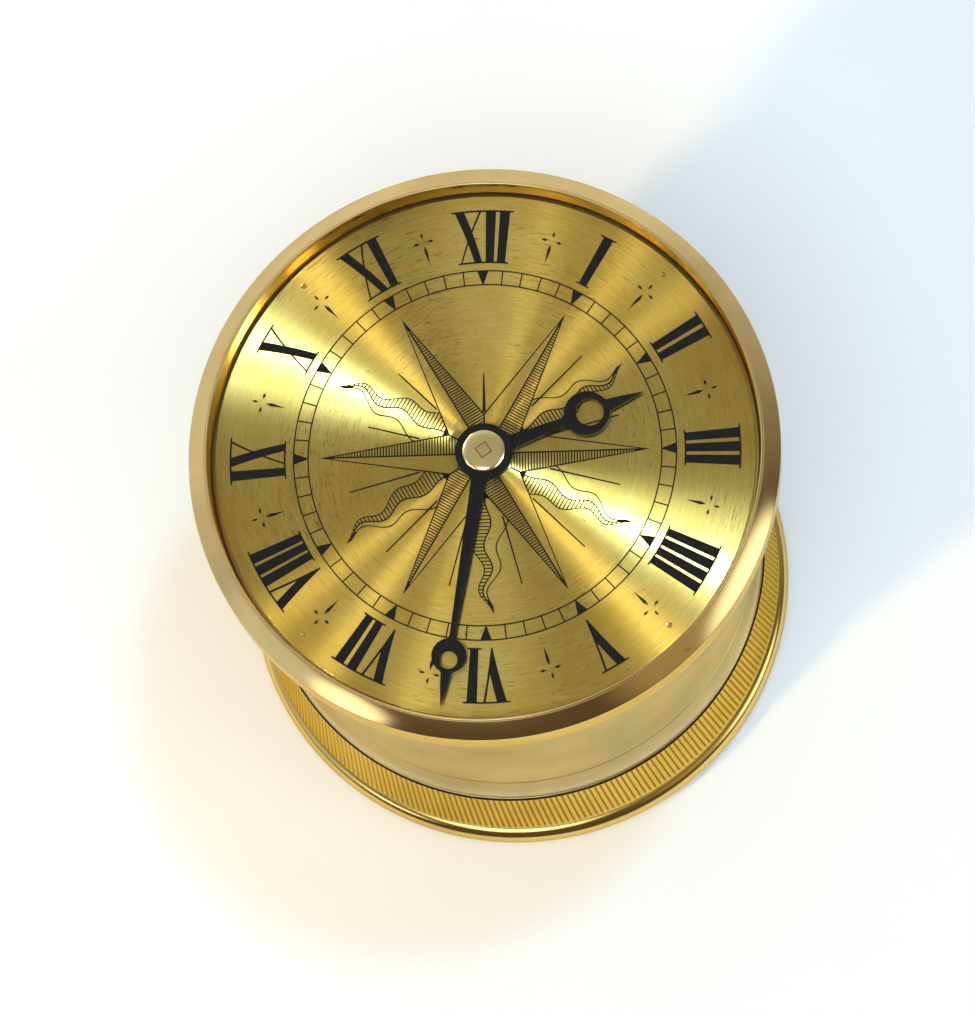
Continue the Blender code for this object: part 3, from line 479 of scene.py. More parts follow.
# --- materials
def dial_brass():
    """Gilt brass brushed in circles, with tarnish along the brush lines."""
    finish = Finish("dial_brass_brushed")
    fine = finish.noise(finish.round_lines(7500.0, 12.0), 1.0, 2.0)
    broad = finish.noise(finish.round_lines(2400.0, 5.0), 1.0, 3.0)
    cloud = finish.cloud(120.0, 5.0, 0.6)
    tone = finish.blend(finish.spread(cloud, 0.34, 0.66), (0.60, 0.435, 0.105),
                        (0.70, 0.560, 0.190))
    tone = finish.blend(finish.spread(fine, 0.30, 0.70, 0.0, 0.42), tone,
                        (0.42, 0.28, 0.045))
    tone = finish.blend(finish.spread(broad, 0.35, 0.70, 0.0, 0.40), tone,
                        (0.46, 0.31, 0.05))
    dash = finish.spread(finish.noise(finish.round_lines(7000.0, 15.0), 1.0, 2.0),
                         0.59, 0.65)
    patch = finish.spread(finish.cloud(60.0, 3.0), 0.47, 0.60)
    share = finish.times(finish.times(dash, patch), 0.75)
    tone = finish.blend(share, tone, (0.30, 0.11, 0.012))
    dot = finish.spread(finish.cloud(1300.0, 2.0), 0.70, 0.76)
    tone = finish.blend(finish.times(dot, 0.6), tone, (0.12, 0.06, 0.02))
    rough = finish.spread(broad, 0.3, 0.7, 0.29, 0.34)
    finish.set(Base_Color=tone, Metallic=1.0, Roughness=rough)
    finish.brushed(1.0)
    finish.bump(finish.math("ADD", fine, finish.times(broad, 1.5)), 0.006 * MM)
    return finish.material


def reeded_brass():
    """Polished brass with painted shade darkening the grooves of the reeded band."""
    finish = turned_finish("polished_brass_foot", (0.81, 0.60, 0.22), 0.17, 0.4, 0.0)
    tone = finish.shader.inputs["Base Color"].links[0].from_socket
    _, radius, height = finish.from_line()
    crest = finish.spread(height, REED_LOW_Z, REED_TOP_Z, REED_LOW_R, REED_TOP_R)
    # Painted shade: the grooves between the reeds are blended towards dark brown, most at
    # their bottoms.
    groove = finish.spread(finish.math("SUBTRACT", crest, radius), 0.05 * MM, 0.22 * MM)
    band = finish.spread(height, REED_LOW_Z + 0.05 * MM, REED_LOW_Z + 0.3 * MM)
    outside = finish.spread(radius, REEDED_FROM_R, REEDED_FROM_R + 0.1 * MM)
    share = finish.times(groove, finish.times(band, outside))
    tone = finish.blend(finish.times(share, 0.6), tone, (0.22, 0.13, 0.03))
    finish.set(Base_Color=tone, Roughness=finish.spread(share, 0.0, 1.0, 0.17, 0.45))
    return finish.material


def black_enamel():
    """Slightly raised black printing, glossy and a little uneven."""
    finish = Finish("black_enamel_print")
    patch = finish.cloud(2600.0, 3.0)
    tone = finish.blend(finish.spread(patch, 0.4, 0.75), (0.004, 0.005, 0.008),
                        (0.014, 0.014, 0.015))
    finish.set(Base_Color=tone, Roughness=finish.spread(patch, 0.3, 0.7, 0.40, 0.55),
               Specular_IOR_Level=0.12)
    finish.bump(patch, 0.004 * MM)
    return finish.material


def black_steel():
    """Blackened hands: matt, with a fine tooth and a few rubbed spots."""
    finish = Finish("black_steel_matt")
    tooth = finish.cloud(9000.0, 3.0)
    rubbed = finish.times(finish.spread(finish.cloud(420.0, 4.0), 0.60, 0.78), 0.4)
    tone = finish.blend(rubbed, (0.006, 0.007, 0.010), (0.035, 0.036, 0.042))
    finish.set(Base_Color=tone, Roughness=finish.spread(tooth, 0.3, 0.7, 0.42, 0.58),
               Specular_IOR_Level=0.12)
    finish.bump(tooth, 0.003 * MM)
    return finish.material


def blued_steel():
    """Tempered spring steel, from deep blue to straw where the heat ran out."""
    finish = Finish("blued_steel_tempered")
    heat = finish.cloud(140.0, 3.0)
    tone = finish.blend(finish.spread(heat, 0.35, 0.7), (0.03, 0.06, 0.24),
                        (0.13, 0.10, 0.16))
    lines = finish.noise(finish.stretched((800.0, 800.0, 9000.0)), 1.0, 2.0)
    finish.set(Base_Color=tone, Metallic=1.0,
               Roughness=finish.spread(lines, 0.3, 0.7, 0.2, 0.34))
    finish.bump(lines, 0.003 * MM)
    return finish.material


def clear_glass():
    """Thin flat glass: it mirrors a little, more at a slant, and has faint smears."""
    finish = Finish("clear_glass_pane")
    smear = finish.spread(finish.cloud(45.0, 5.0, 0.65), 0.45, 0.8)
    # The Fresnel node inverts its index on back faces, so this gives the same share there.
    back = finish.node("NewGeometry").outputs["Backfacing"]
    fresnel = finish.node("Fresnel")
    index = 1.16
    finish.feed(fresnel.inputs["IOR"], finish.spread(back, 0.0, 1.0, index, 1 / index))
    clear = finish.node("BsdfTransparent")
    clear.inputs["Color"].default_value = (0.985, 0.992, 0.985, 1.0)
    shine = finish.node("BsdfGlossy")
    shine.inputs["Color"].default_value = (1.0, 1.0, 1.0, 1.0)
    finish.feed(shine.inputs["Roughness"], finish.spread(smear, 0.0, 1.0, 0.02, 0.10))
    both = finish.node("MixShader")
    finish.feed(both.inputs[0], fresnel.outputs[0])
    finish.feed(both.inputs[1], clear.outputs[0])
    finish.feed(both.inputs[2], shine.outputs[0])
    output = next(n for n in finish.tree.nodes if n.type == "OUTPUT_MATERIAL")
    finish.feed(output.inputs["Surface"], both.outputs[0])
    finish.tree.nodes.remove(finish.shader)
    return finish.material


def white_table():
    """Plain pale table top with a barely visible mottle."""
    finish = Finish("white_table_top")
    mottle = finish.cloud(30.0, 4.0)
    tone = finish.blend(mottle, (0.86, 0.86, 0.86), (0.90, 0.90, 0.89))
    finish.set(Base_Color=tone, Roughness=0.6)
    return finish.material


DRUM_BRASS = turned_metal("satin_brass_turned", (0.74, 0.61, 0.33), 0.36, 0.7, 0.5)
BEZEL_BRASS = turned_metal("polished_brass_bezel", (0.84, 0.65, 0.31), 0.14, 0.6, 0.3)
FOOT_BRASS = reeded_brass()
RING_BRASS = turned_metal("polished_brass_ring", (0.80, 0.56, 0.20), 0.13, 0.5, 0.0)
COLLET_BRASS = turned_metal("polished_brass_collet", (0.86, 0.72, 0.40), 0.16, 0.5, 0.0)
KEY_BRASS = turned_metal("polished_brass_key", (0.78, 0.57, 0.24), 0.18, 0.6, 0.0,
                         centre=BARREL)
COVER_BRASS = turned_metal("satin_brass_cover", (0.64, 0.49, 0.23), 0.34, 0.9, 0.7)
PLATE_BRASS = grained_metal("plate_brass_grained", (0.72, 0.54, 0.25), 0.26)
STEEL = grained_metal("steel_bright", (0.58, 0.58, 0.59), 0.22)
GILT_STEEL = grained_metal("steel_gilt", (0.84, 0.70, 0.40), 0.22)
DIAL_BRASS = dial_brass()
BLACK_ENAMEL = black_enamel()
BLACK_STEEL = black_steel()
BLUED_STEEL = blued_steel()
CLEAR_GLASS = clear_glass()


def paint(piece, material):
    piece.data.materials.clear()
    piece.data.materials.append(material)


def dress(piece, material, body, slot, *nodes):
    """Give a new piece its material, the body it rides on and the nodes it replaces."""
    paint(piece, material)
    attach(piece, body)
    if nodes:
        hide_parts(*nodes)


# --- case
def make_drum():
    """Turned wall with the dial seat on top, and a concave flare over the foot."""
    wall_r = 35.25 * MM
    bore_r = wall_r - 1.2 * MM
    shelf_r, shelf_low, shelf_high = 31.0 * MM, 25.8 * MM, 27.8 * MM
    seat_r, seat_low = 31.5 * MM, 66.5 * MM
    flange_low = FACE_Z - 2.55 * MM
    spigot_r = 34.95 * MM
    flare_z, flare_wide, step_wide = 24.0 * MM, 1.05 * MM, 0.06 * MM
    joint_z = REED_TOP_Z + 0.3 * MM
    flare = []
    for k in range(17):
        t = math.radians(90 * k / 16)
        flare.append((wall_r + step_wide + flare_wide * (1 - math.cos(t)),
                      flare_z + (joint_z - flare_z) * math.sin(t)))
    step = [(wall_r, flare_z + 0.10 * MM), (wall_r + step_wide, flare_z + 0.05 * MM)]
    edge = 0.1 * MM
    inside = rounded([
        (bore_r, DRUM_LOW_Z, 2 * edge), (bore_r, shelf_low, edge),
        (shelf_r, shelf_low, 1.5 * edge), (shelf_r, shelf_high, 1.5 * edge),
        (bore_r, shelf_high, edge), (bore_r, seat_low, 2 * edge),
        (seat_r, seat_low, edge), (seat_r, DRUM_HIGH_Z, edge),
        (FLANGE_R, DRUM_HIGH_Z, edge), (FLANGE_R, flange_low, edge),
        (wall_r, flange_low, edge), (wall_r, flange_low - 2 * MM, 0.0),
    ], 3)
    spigot = [(spigot_r, joint_z), (spigot_r, DRUM_LOW_Z)]
    drum = lathe("turned_drum", inside + step + flare + spigot)
    dress(drum, DRUM_BRASS, "case", "satin_brass", "case_drum")


def reed_depth(turn, radius, z):
    """How deep the foot ring is cut at this point of the reeded band."""
    deepest, fade = 0.26 * MM, 0.35 * MM
    if radius < REEDED_FROM_R or z > REED_TOP_Z - 0.02 * MM or z < REED_LOW_Z:
        return 0.0
    ends = min(1.0, (z - REED_LOW_Z) / fade)
    wave = abs(math.sin(turn * REEDS / 2))
    return deepest * ends * (1 - wave)


def reed_lean(z):
    """How far round the slanting reeds have moved at this height, in radians."""
    whole = 0.026
    return whole * min(1.0, max(0.0, (REED_TOP_Z - z) / (REED_TOP_Z - REED_LOW_Z)))


def make_foot():
    """Reeded band, a narrow groove and a fat bead that stands proud of the table."""
    bead_r, bead_z = 1.9 * MM, 3.5 * MM
    bead = arc(bead_r, 82, -58, 30, (FOOT_R - bead_r, bead_z))
    top = [(36.60 * MM, REED_TOP_Z), (REED_TOP_R, REED_TOP_Z - 0.08 * MM)]
    band = []
    for share in (0.02, 0.08, 0.25, 0.5, 0.75, 0.90, 0.95, 0.975, 1.0):
        band.append((REED_TOP_R + (REED_LOW_R - REED_TOP_R) * share,
                     REED_TOP_Z + (REED_LOW_Z - REED_TOP_Z) * share))
    hollow = (37.7 * MM, 6.0 * MM)
    start = (REED_LOW_R - 0.05 * MM, REED_LOW_Z - 0.2 * MM)
    groove = [curve_point(start, hollow, bead[0], k / 10) for k in range(10)]
    stand_r, bore_r = FOOT_R - 1.3 * MM, 33.6 * MM
    recess_r, recess_z = 35.3 * MM, 11.4 * MM
    under = rounded([
        (stand_r, 1.0 * MM, 0.15 * MM), (stand_r, 0.0, 0.25 * MM),
        (bore_r, 0.0, 0.25 * MM), (bore_r, recess_z, 0.1 * MM),
        (recess_r, recess_z, 0.1 * MM), (recess_r, REED_TOP_Z, 0.1 * MM),
    ], 3)
    steps_per_reed = 4
    ring = lathe("reeded_foot", top + band + groove + bead + under,
                 REEDS * steps_per_reed, ripple=reed_depth, twist=reed_lean,
                 crease_angle=50)
    dress(ring, FOOT_BRASS, "case", "polished_brass", "base_ring")


def make_bezel():
    """Straight edge, wide chamfer and a bright bead round the glass."""
    inner_r = 37.30 * MM
    lip_r, lip_z = 0.20 * MM, FACE_Z + 2.94 * MM
    lip = arc(lip_r, 180, 25, 11, (inner_r + lip_r, lip_z))
    chamfer_r, chamfer_high, chamfer_low = 37.78 * MM, FACE_Z + 3.03 * MM, FACE_Z + 1.70 * MM
    skirt_low, skirt_r = FACE_Z - 2.85 * MM, FLANGE_R + 0.4 * MM
    rebate_r, rebate_high = GLASS_R + 0.2 * MM, GLASS_HIGH_Z + 0.05 * MM
    crisp = 0.03 * MM
    body = rounded([
        (chamfer_r, chamfer_high, crisp), (BEZEL_R, chamfer_low, 0.16 * MM),
        (BEZEL_R, skirt_low, 0.22 * MM), (skirt_r, skirt_low, 0.1 * MM),
        (skirt_r, GLASS_LOW_Z, crisp), (rebate_r, GLASS_LOW_Z, crisp),
        (rebate_r, rebate_high, crisp), (inner_r, rebate_high, crisp),
    ])
    bezel = lathe("turned_bezel", lip + body)
    dress(bezel, BEZEL_BRASS, "case", "polished_brass", "bezel")


def make_glass():
    edge = rounded([
        (GLASS_R, GLASS_HIGH_Z, 0.12 * MM), (GLASS_R, GLASS_LOW_Z, 0.12 * MM),
        (0.0, GLASS_LOW_Z, 0.0), (0.0, GLASS_HIGH_Z, 0.0),
    ], 4)
    dress(lathe("flat_glass", edge), CLEAR_GLASS, "case", "clear_glass", "glass")


def make_reflector():
    """Polished cone under the glass that mirrors the edge of the dial."""
    low, high = FACE_Z + 0.05 * MM, GLASS_LOW_Z - 0.02 * MM
    low_r, high_r, edge = 36.98 * MM, 37.58 * MM, 0.05 * MM
    profile = rounded([
        (high_r, high, edge), (FLANGE_R, high, edge),
        (FLANGE_R, low, edge), (low_r, low, edge),
    ])
    ring = lathe("polished_reflector", profile)
    dress(ring, RING_BRASS, "case", "polished_brass", "dial_reflector_ring")


# --- dial
INK_LOW = FACE_Z - 0.02 * MM
INK_HIGH = FACE_Z + 0.03 * MM
TRACK_IN = 0.9235
LINE = 0.0070
NUMERAL_LOW, NUMERAL_HIGH = 1.042, 1.336
NUMERAL_MIDDLE = 1.2
SERIF = 0.0095
OVERHANG = 0.018
# Degrees that a half-hour mark moves, towards the narrower of the numerals beside it.
MARK_SHIFTS = {0: 2.6, 5: -0.9, 6: -0.8}
NUMERALS = ("I", "II", "III", "IIII", "V", "VI", "VII", "VIII", "IX", "X", "XI", "XII")


def make_dial():
    """Brushed disc with a bore for the hour pipe, held by four small pins."""
    pins = [polar(34.7 * MM, angle) for angle in (45, 135, 225, 315)]
    hole_r, pin_r, crown_r, pipe_r = 0.35 * MM, 0.29 * MM, 0.22 * MM, 3.2 * MM
    loops = [circle(DIAL_R - 0.3 * MM, points=ROUND), circle(pipe_r)]
    loops += [circle(hole_r, pin, 24) for pin in pins]
    dial = plate("brushed_dial", loops, DIAL_LOW_Z, FACE_Z, 0.05 * MM)
    dress(dial, DIAL_BRASS, "case", "dial_brass", "dial_plate")
    for number, pin in enumerate(pins, 1):
        node = f"dial_pin_{number}"
        low, high = heights(node)
        profile = [(0.0, high), (crown_r, high - 0.01 * MM), (pin_r, high - 0.05 * MM),
                   (pin_r, low), (0.0, low)]
        rivet = lathe(f"dial_rivet_{number}", profile, 24, pin)
        dress(rivet, COVER_BRASS, "case", "satin_brass", node)


def dial_point(clockwise, radius):
    """A point of the dial, at degrees clockwise from XII and track radii out."""
    return polar(radius * TRACK_R, 90 - clockwise)


def make_minute_track():
    """Two rings joined by sixty lines, with a solid triangle at each hour."""
    half, triangle_half = LINE / 2, 0.0285
    inner, outer = TRACK_IN + half, 1.0 - half
    loops = [circle((1.0 + half) * TRACK_R, points=360)]
    loops.append(circle((TRACK_IN - half) * TRACK_R, points=360))
    for minute in range(60):
        wide = [triangle_half if m % 5 == 0 else half for m in (minute, minute + 1)]
        left_out, right_out = (math.degrees(w / outer) for w in wide)
        edge = math.degrees(half / inner)
        start, end = 6 * minute, 6 * (minute + 1)
        loop = [dial_point(a, inner) for a in spaced(start + edge, end - edge, 6)]
        loop += [dial_point(a, outer) for a in spaced(end - right_out, start + left_out, 6)]
        loops.append(loop)
    return printed("dial_minute_track", loops, INK_LOW, INK_HIGH)


def spaced(first, last, count):
    return [first + (last - first) * k / (count - 1) for k in range(count)]


def slant(bottom, top):
    """Offset along a numeral's width of an edge that runs from bottom to top."""
    tall = NUMERAL_HIGH - NUMERAL_LOW
    return lambda t: bottom + (top - bottom) * (t - NUMERAL_LOW) / tall


def crossing(one, two):
    """Point where two slanted edges cross."""
    low = one(NUMERAL_LOW) - two(NUMERAL_LOW)
    high = one(NUMERAL_HIGH) - two(NUMERAL_HIGH)
    t = NUMERAL_LOW + (NUMERAL_HIGH - NUMERAL_LOW) * low / (low - high)
    return (one(t), t)


def glyph(letter, x):
    """(width, left edge, right edge, holes, has foot) of a letter that starts at x.

    Edges run upwards, and t is the distance from the dial's centre.
    """
    foot, head = NUMERAL_LOW + SERIF, NUMERAL_HIGH - SERIF
    if letter == "I":
        width = 0.049
        return width, [(x, foot), (x, head)], [(x + width, foot), (x + width, head)], [], True
    if letter == "V":
        width, thick, thin, blunt = 0.112, 0.046, 0.011, 0.004
        apex = x + 0.062
        left, right = slant(apex - blunt, x), slant(apex + blunt, x + width)
        hole_left = slant(apex - blunt + thick, x + thick)
        hole_right = slant(apex + blunt - thin, x + width - thin)
        low = crossing(hole_left, hole_right)
        hole = [low, (hole_right(head), head), (hole_left(head), head)]
        left_edge = [(left(NUMERAL_LOW), NUMERAL_LOW), (left(head), head)]
        right_edge = [(right(NUMERAL_LOW), NUMERAL_LOW), (right(head), head)]
        return width, left_edge, right_edge, [hole], False
    width, thick, thin = 0.132, 0.045, 0.010
    thick_left, thick_right = slant(x + width - thick, x), slant(x + width, x + thick)
    thin_left, thin_right = slant(x, x + width - thin), slant(x + thin, x + width)
    left_edge = [(thin_left(foot), foot), crossing(thin_left, thick_left),
                 (thick_left(head), head)]
    right_edge = [(thick_right(foot), foot), crossing(thick_right, thin_right),
                  (thin_right(head), head)]
    upper = [crossing(thick_right, thin_left), (thin_left(head), head),
             (thick_right(head), head)]
    lower = [crossing(thick_left, thin_right), (thin_right(foot), foot),
             (thick_left(foot), foot)]
    return width, left_edge, right_edge, [upper, lower], True


def numeral_loops(text):
    """Outline and holes of a numeral, centred, as (offset, distance) points."""
    gap = 0.019 if len(text) < 4 else 0.014
    beside_v = 0.010
    glyphs, x = [], 0.0
    for letter in text:
        if glyphs and "V" in (letter, glyphs[-1][0]):
            x += beside_v
        made = glyph(letter, x)
        glyphs.append((letter, *made))
        x += made[0] + gap
    shift = (x - gap) / 2
    foot = NUMERAL_LOW + SERIF * 0.7
    head = NUMERAL_HIGH - SERIF * 0.7
    start = glyphs[0][2][-1][0] - OVERHANG
    outline = [(start, NUMERAL_HIGH), (start, head)]
    holes = []
    for i, (_, _, left, right, inside, has_foot) in enumerate(glyphs):
        holes += inside
        joined = i > 0 and has_foot and glyphs[i - 1][5]
        if joined:
            holes.append(glyphs[i - 1][3] + left[::-1])
        else:
            outline += left[::-1]
            if has_foot:
                edge = left[0][0] - OVERHANG
                outline += [(edge, foot), (edge, NUMERAL_LOW)]
        last = i == len(glyphs) - 1
        if last or not (has_foot and glyphs[i + 1][5]):
            if has_foot:
                edge = right[0][0] + OVERHANG
                outline += [(edge, NUMERAL_LOW), (edge, foot)]
            outline += right
    end = glyphs[-1][3][-1][0] + OVERHANG
    outline += [(end, head), (end, NUMERAL_HIGH)]
    return [[(s - shift, t) for s, t in loop] for loop in [outline] + holes]


def bent(loop, hour):
    """A numeral's loop placed at its hour, its long edges bent round the dial."""
    points, longest = [], 0.02
    for (s0, t0), (s1, t1) in zip(loop, loop[1:] + loop[:1]):
        pieces = max(1, math.ceil(abs(s1 - s0) / longest))
        for k in range(pieces):
            s = s0 + (s1 - s0) * k / pieces
            t = t0 + (t1 - t0) * k / pieces
            points.append(dial_point(30 * hour + math.degrees(s / NUMERAL_MIDDLE), t))
    return points


def make_numerals():
    loops = []
    for hour, text in enumerate(NUMERALS, 1):
        loops += [bent(loop, hour) for loop in numeral_loops(text)]
    return printed("dial_numerals", loops, INK_LOW, INK_HIGH)


def make_half_marks():
    """At each half hour: a dart towards the centre and three small lozenges."""
    loops = []
    for hour in range(12):
        middle = 30 * hour + 15 + MARK_SHIFTS.get(hour, 0.0)

        def mark(*points):
            """A closed mark through points (distance out, distance aside)."""
            return [dial_point(middle + math.degrees(aside / NUMERAL_MIDDLE), out)
                    for out, aside in points]

        loops.append(mark((1.078, 0), (1.158, 0.0095), (1.188, 0), (1.158, -0.0095)))
        loops.append(mark((1.226, 0), (1.244, 0.0065), (1.264, 0), (1.244, -0.0065)))
        for side in (-1, 1):
            loops.append(mark((1.207, 0.020 * side), (1.2145, 0.040 * side),
                              (1.207, 0.056 * side), (1.1995, 0.040 * side)))
    return printed("dial_half_hour_marks", loops, INK_LOW, INK_HIGH)


# --- rose
RAY_TIP = 0.857
VALLEY_R = 0.213
EDGE = LINE * 0.55
HATCH = 0.0150
HATCH_LINE = 0.0062
WAVE_TIP = 0.860
WAVE_SLOPE = 0.178
WAVE_PITCH = 0.245


def rose_point(angle, along, aside):
    """A point of the rose: along a ray, and aside towards its clockwise side."""
    turn = math.radians(angle)
    x = along * math.cos(turn) + aside * math.sin(turn)
    y = along * math.sin(turn) - aside * math.cos(turn)
    return (x * TRACK_R, y * TRACK_R)


def placed(angle, points):
    return [rose_point(angle, *point) for point in points]


def straight_ray(angle):
    """Hatched on its clockwise side and plain on the other."""
    valley_u, valley_v = polar(VALLEY_R, 30)
    root, plain_end = 0.135, RAY_TIP - 0.06

    def half_width(u):
        if u < valley_u:
            return u * valley_v / valley_u
        return valley_v * (RAY_TIP - u) / (RAY_TIP - valley_u)

    outline = [(root, -half_width(root) - EDGE), (valley_u, -valley_v - EDGE),
               (RAY_TIP + 0.006, 0.0), (valley_u, valley_v + EDGE),
               (root, half_width(root) + EDGE)]
    plain = [(root + EDGE, -EDGE), (root + EDGE, -half_width(root) + EDGE),
             (valley_u, -valley_v + EDGE), (plain_end, -half_width(plain_end) + EDGE),
             (plain_end, -EDGE)]
    loops = [placed(angle, outline), placed(angle, plain)]
    u = root + EDGE
    while half_width(u + HATCH) > 2.6 * EDGE:
        a, b = u + HATCH_LINE / 2, u + HATCH - HATCH_LINE / 2
        cell = [(a, EDGE), (b, EDGE), (b, half_width(b) - EDGE), (a, half_width(a) - EDGE)]
        loops.append(placed(angle, cell))
        u += HATCH
    return loops


def wave(u):
    """Offset of a flame ray's middle line at a distance along the ray."""
    size = 0.012 + 0.028 * (u - 0.2)
    return -0.013 + size * math.cos(2 * math.pi * (u - 0.738) / WAVE_PITCH)


def flame_ray(angle):
    """A wavy ray between two straight ones, hatched on its clockwise side."""
    start, far = VALLEY_R + 0.03, WAVE_TIP - 0.035
    tip_u, tip_v = polar(RAY_TIP, 30)

    def side_at(u, side):
        """Offset of the flame's edge, which the next straight ray bounds at its root."""
        edge_v = wave(u) + side * WAVE_SLOPE * max(0.0, WAVE_TIP - u)
        bound = side * tip_v * (u - VALLEY_R) / (tip_u - VALLEY_R)
        return min(edge_v, bound) if side > 0 else max(edge_v, bound)

    reach = spaced(VALLEY_R + 0.012, far, 60)
    upper = [(u, side_at(u, 1) + EDGE * 0.8) for u in reach]
    lower = [(u, side_at(u, -1) - EDGE * 0.8) for u in reach]
    tip = (WAVE_TIP + 0.004, wave(WAVE_TIP))
    outline = [(VALLEY_R - 0.004, 0.0)] + lower + [tip] + upper[::-1]
    plain_low, plain_high = [], []
    for u in spaced(start, far - 0.02, 56):
        low, high = side_at(u, -1) + EDGE, min(wave(u), side_at(u, 1) - EDGE) - EDGE
        if high - low > 0.004:
            plain_low.append((u, low))
            plain_high.append((u, high))
    loops = [placed(angle, outline), placed(angle, plain_low + plain_high[::-1])]
    u, pitch = start, HATCH * 1.25
    while u + pitch < far:
        a, b = u + HATCH_LINE / 2, u + pitch - HATCH_LINE / 2
        low = [(v, wave(v) + EDGE) for v in spaced(a, b, 3)]
        high = [(v, side_at(v, 1) - EDGE * 0.8) for v in spaced(b, a, 3)]
        if min(high[0][1] - low[-1][1], high[-1][1] - low[0][1]) > 0.003:
            loops.append(placed(angle, low + high))
        u += pitch
    return loops


def thin_line(angle, start, end, wide):
    """A straight radial line that changes to half a fine line's width at its end."""
    thin = LINE / 2
    return placed(angle, [(start, -wide / 2), (end, -thin), (end, thin), (start, wide / 2)])


def make_rose():
    """Compass rose: six straight rays, five flames and thin lines between them."""
    prints = [straight_ray(angle) for angle in range(0, 360, 60)]
    for angle in (30, 150, 210, 270, 330):
        prints.append(flame_ray(angle))
        for side in (-15, 15):
            end = 0.63 if angle == 150 else 0.73
            prints.append([thin_line(angle + side, 0.352, end, 0.009)])
    prints.append([thin_line(90, VALLEY_R + 0.012, 0.436, 0.018)])
    pieces = [printed("rose_part", loops, INK_LOW, INK_HIGH) for loops in prints]
    whole = bmesh.new()
    for piece in pieces:
        whole.from_mesh(piece.data)
        bpy.data.objects.remove(piece)
    return new_piece("dial_rose", mesh_of(whole, "dial_rose"), FLAT_ANGLE)


# --- hands
def hand_loops(shaft, ring, spear, tip):
    """Outline of a hand that points along +Y, and the hole in its ring.

    shaft is (width at the hub, width at the ring), ring is (place, radius, hole
    radius, how far the hole is nearer the tip), and spear is its width at the ring.
    """
    place, ring_r, hole_r, hole_shift = ring
    centre = (0.0, place)
    hub_r, flare, waist = 3.9 * MM, 7.0, 0.93
    start = math.degrees(math.asin(shaft[0] / 2 / hub_r))
    meet = math.degrees(math.asin(shaft[1] / 2 / ring_r))
    leave = math.degrees(math.asin(spear / 2 / ring_r))

    def eased(first, corner, last):
        return [curve_point(first, corner, last, k / 4) for k in range(1, 4)]

    hub_end = polar(hub_r, 90 - start)
    shaft_end = polar(ring_r, -90 + meet, centre)
    spear_start = polar(ring_r, 90 - leave, centre)
    near_hub = (shaft[0] / 2, hub_end[1] + 0.9 * MM)
    near_ring = (shaft[1] / 2, shaft_end[1] - 0.7 * MM)
    past_ring = (spear / 2 * waist, spear_start[1] + 0.45 * MM)
    right = arc(hub_r, -90, 90 - start - flare, 40)
    right += eased(right[-1], hub_end, near_hub) + [near_hub, near_ring]
    ring_arc = arc(ring_r, -90 + meet + flare, 90 - leave - flare, 34, centre)
    right += eased(near_ring, shaft_end, ring_arc[0]) + ring_arc
    right += eased(ring_arc[-1], spear_start, past_ring) + [past_ring]
    length = tip - past_ring[1]
    for share in (0.3, 0.6, 0.85):
        swell = 1 - share ** 1.25
        right.append((past_ring[0] * swell, past_ring[1] + length * share))
    right.append((0.03 * MM, tip - 0.04 * MM))
    left = [(-x, y) for x, y in right[::-1]]
    return [right + left[:-1], circle(hole_r, (0.0, place + hole_shift), 48)]


# Half the side of the square holes that fit over the end of the centre arbor.
SQUARE_HALF = 0.85 * MM


def turned_to(loops, degrees):
    """Loops that pointed along +Y, turned to point at this angle."""
    turn = Matrix.Rotation(math.radians(degrees - 90), 2)
    return [[tuple(turn @ Vector(point)) for point in loop] for loop in loops]


def square(half, degrees):
    """A square with one corner at this angle."""
    return [polar(half * math.sqrt(2), degrees + 90 * k) for k in range(4)]


def make_hands():
    """Blackened blades; the long one sits on the square end of the arbor."""
    hour = hand_loops((1.95 * MM, 1.20 * MM), (14.8 * MM, 3.1 * MM, 1.9 * MM, 0.45 * MM),
                      1.75 * MM, 23.0 * MM)
    hour = turned_to(hour + [circle(2.1 * MM)], HOUR_ANGLE)
    minute = hand_loops((2.1 * MM, 0.75 * MM), (28.6 * MM, 2.35 * MM, 1.25 * MM, 0.60 * MM),
                        1.45 * MM, 35.5 * MM)
    minute = turned_to(minute, MINUTE_ANGLE) + [square(SQUARE_HALF, MINUTE_ANGLE)]
    for node, loops, body in (("hour_hand", hour, "hour_wheel"),
                              ("minute_hand", minute, "centre_arbor")):
        hand = plate(node + "_blade", loops, *heights(node), 0.05 * MM)
        dress(hand, BLACK_STEEL, body, "black_steel", node)


def make_collet():
    """Polished dome with a square hole, on the end of the centre arbor."""
    low, high = heights("hand_collet")[0], FACE_Z + 1.95 * MM
    radius, foot = 2.9 * MM, 0.15 * MM
    dome = []
    for k in range(13):
        t = math.radians(90 * k / 12)
        dome.append((radius * math.sin(t), low + foot + (high - low - foot) * math.cos(t)))
    profile = dome + [(radius, low + 0.04 * MM), (radius - 0.06 * MM, low), (0.0, low)]
    collet = lathe("domed_collet", profile, 96)
    hole = plate("collet_hole", [square(SQUARE_HALF, MINUTE_ANGLE)], low - MM, high + MM)
    apply_boolean(collet, hole, "DIFFERENCE")
    dress(collet, COLLET_BRASS, "centre_arbor", "polished_brass", "hand_collet")


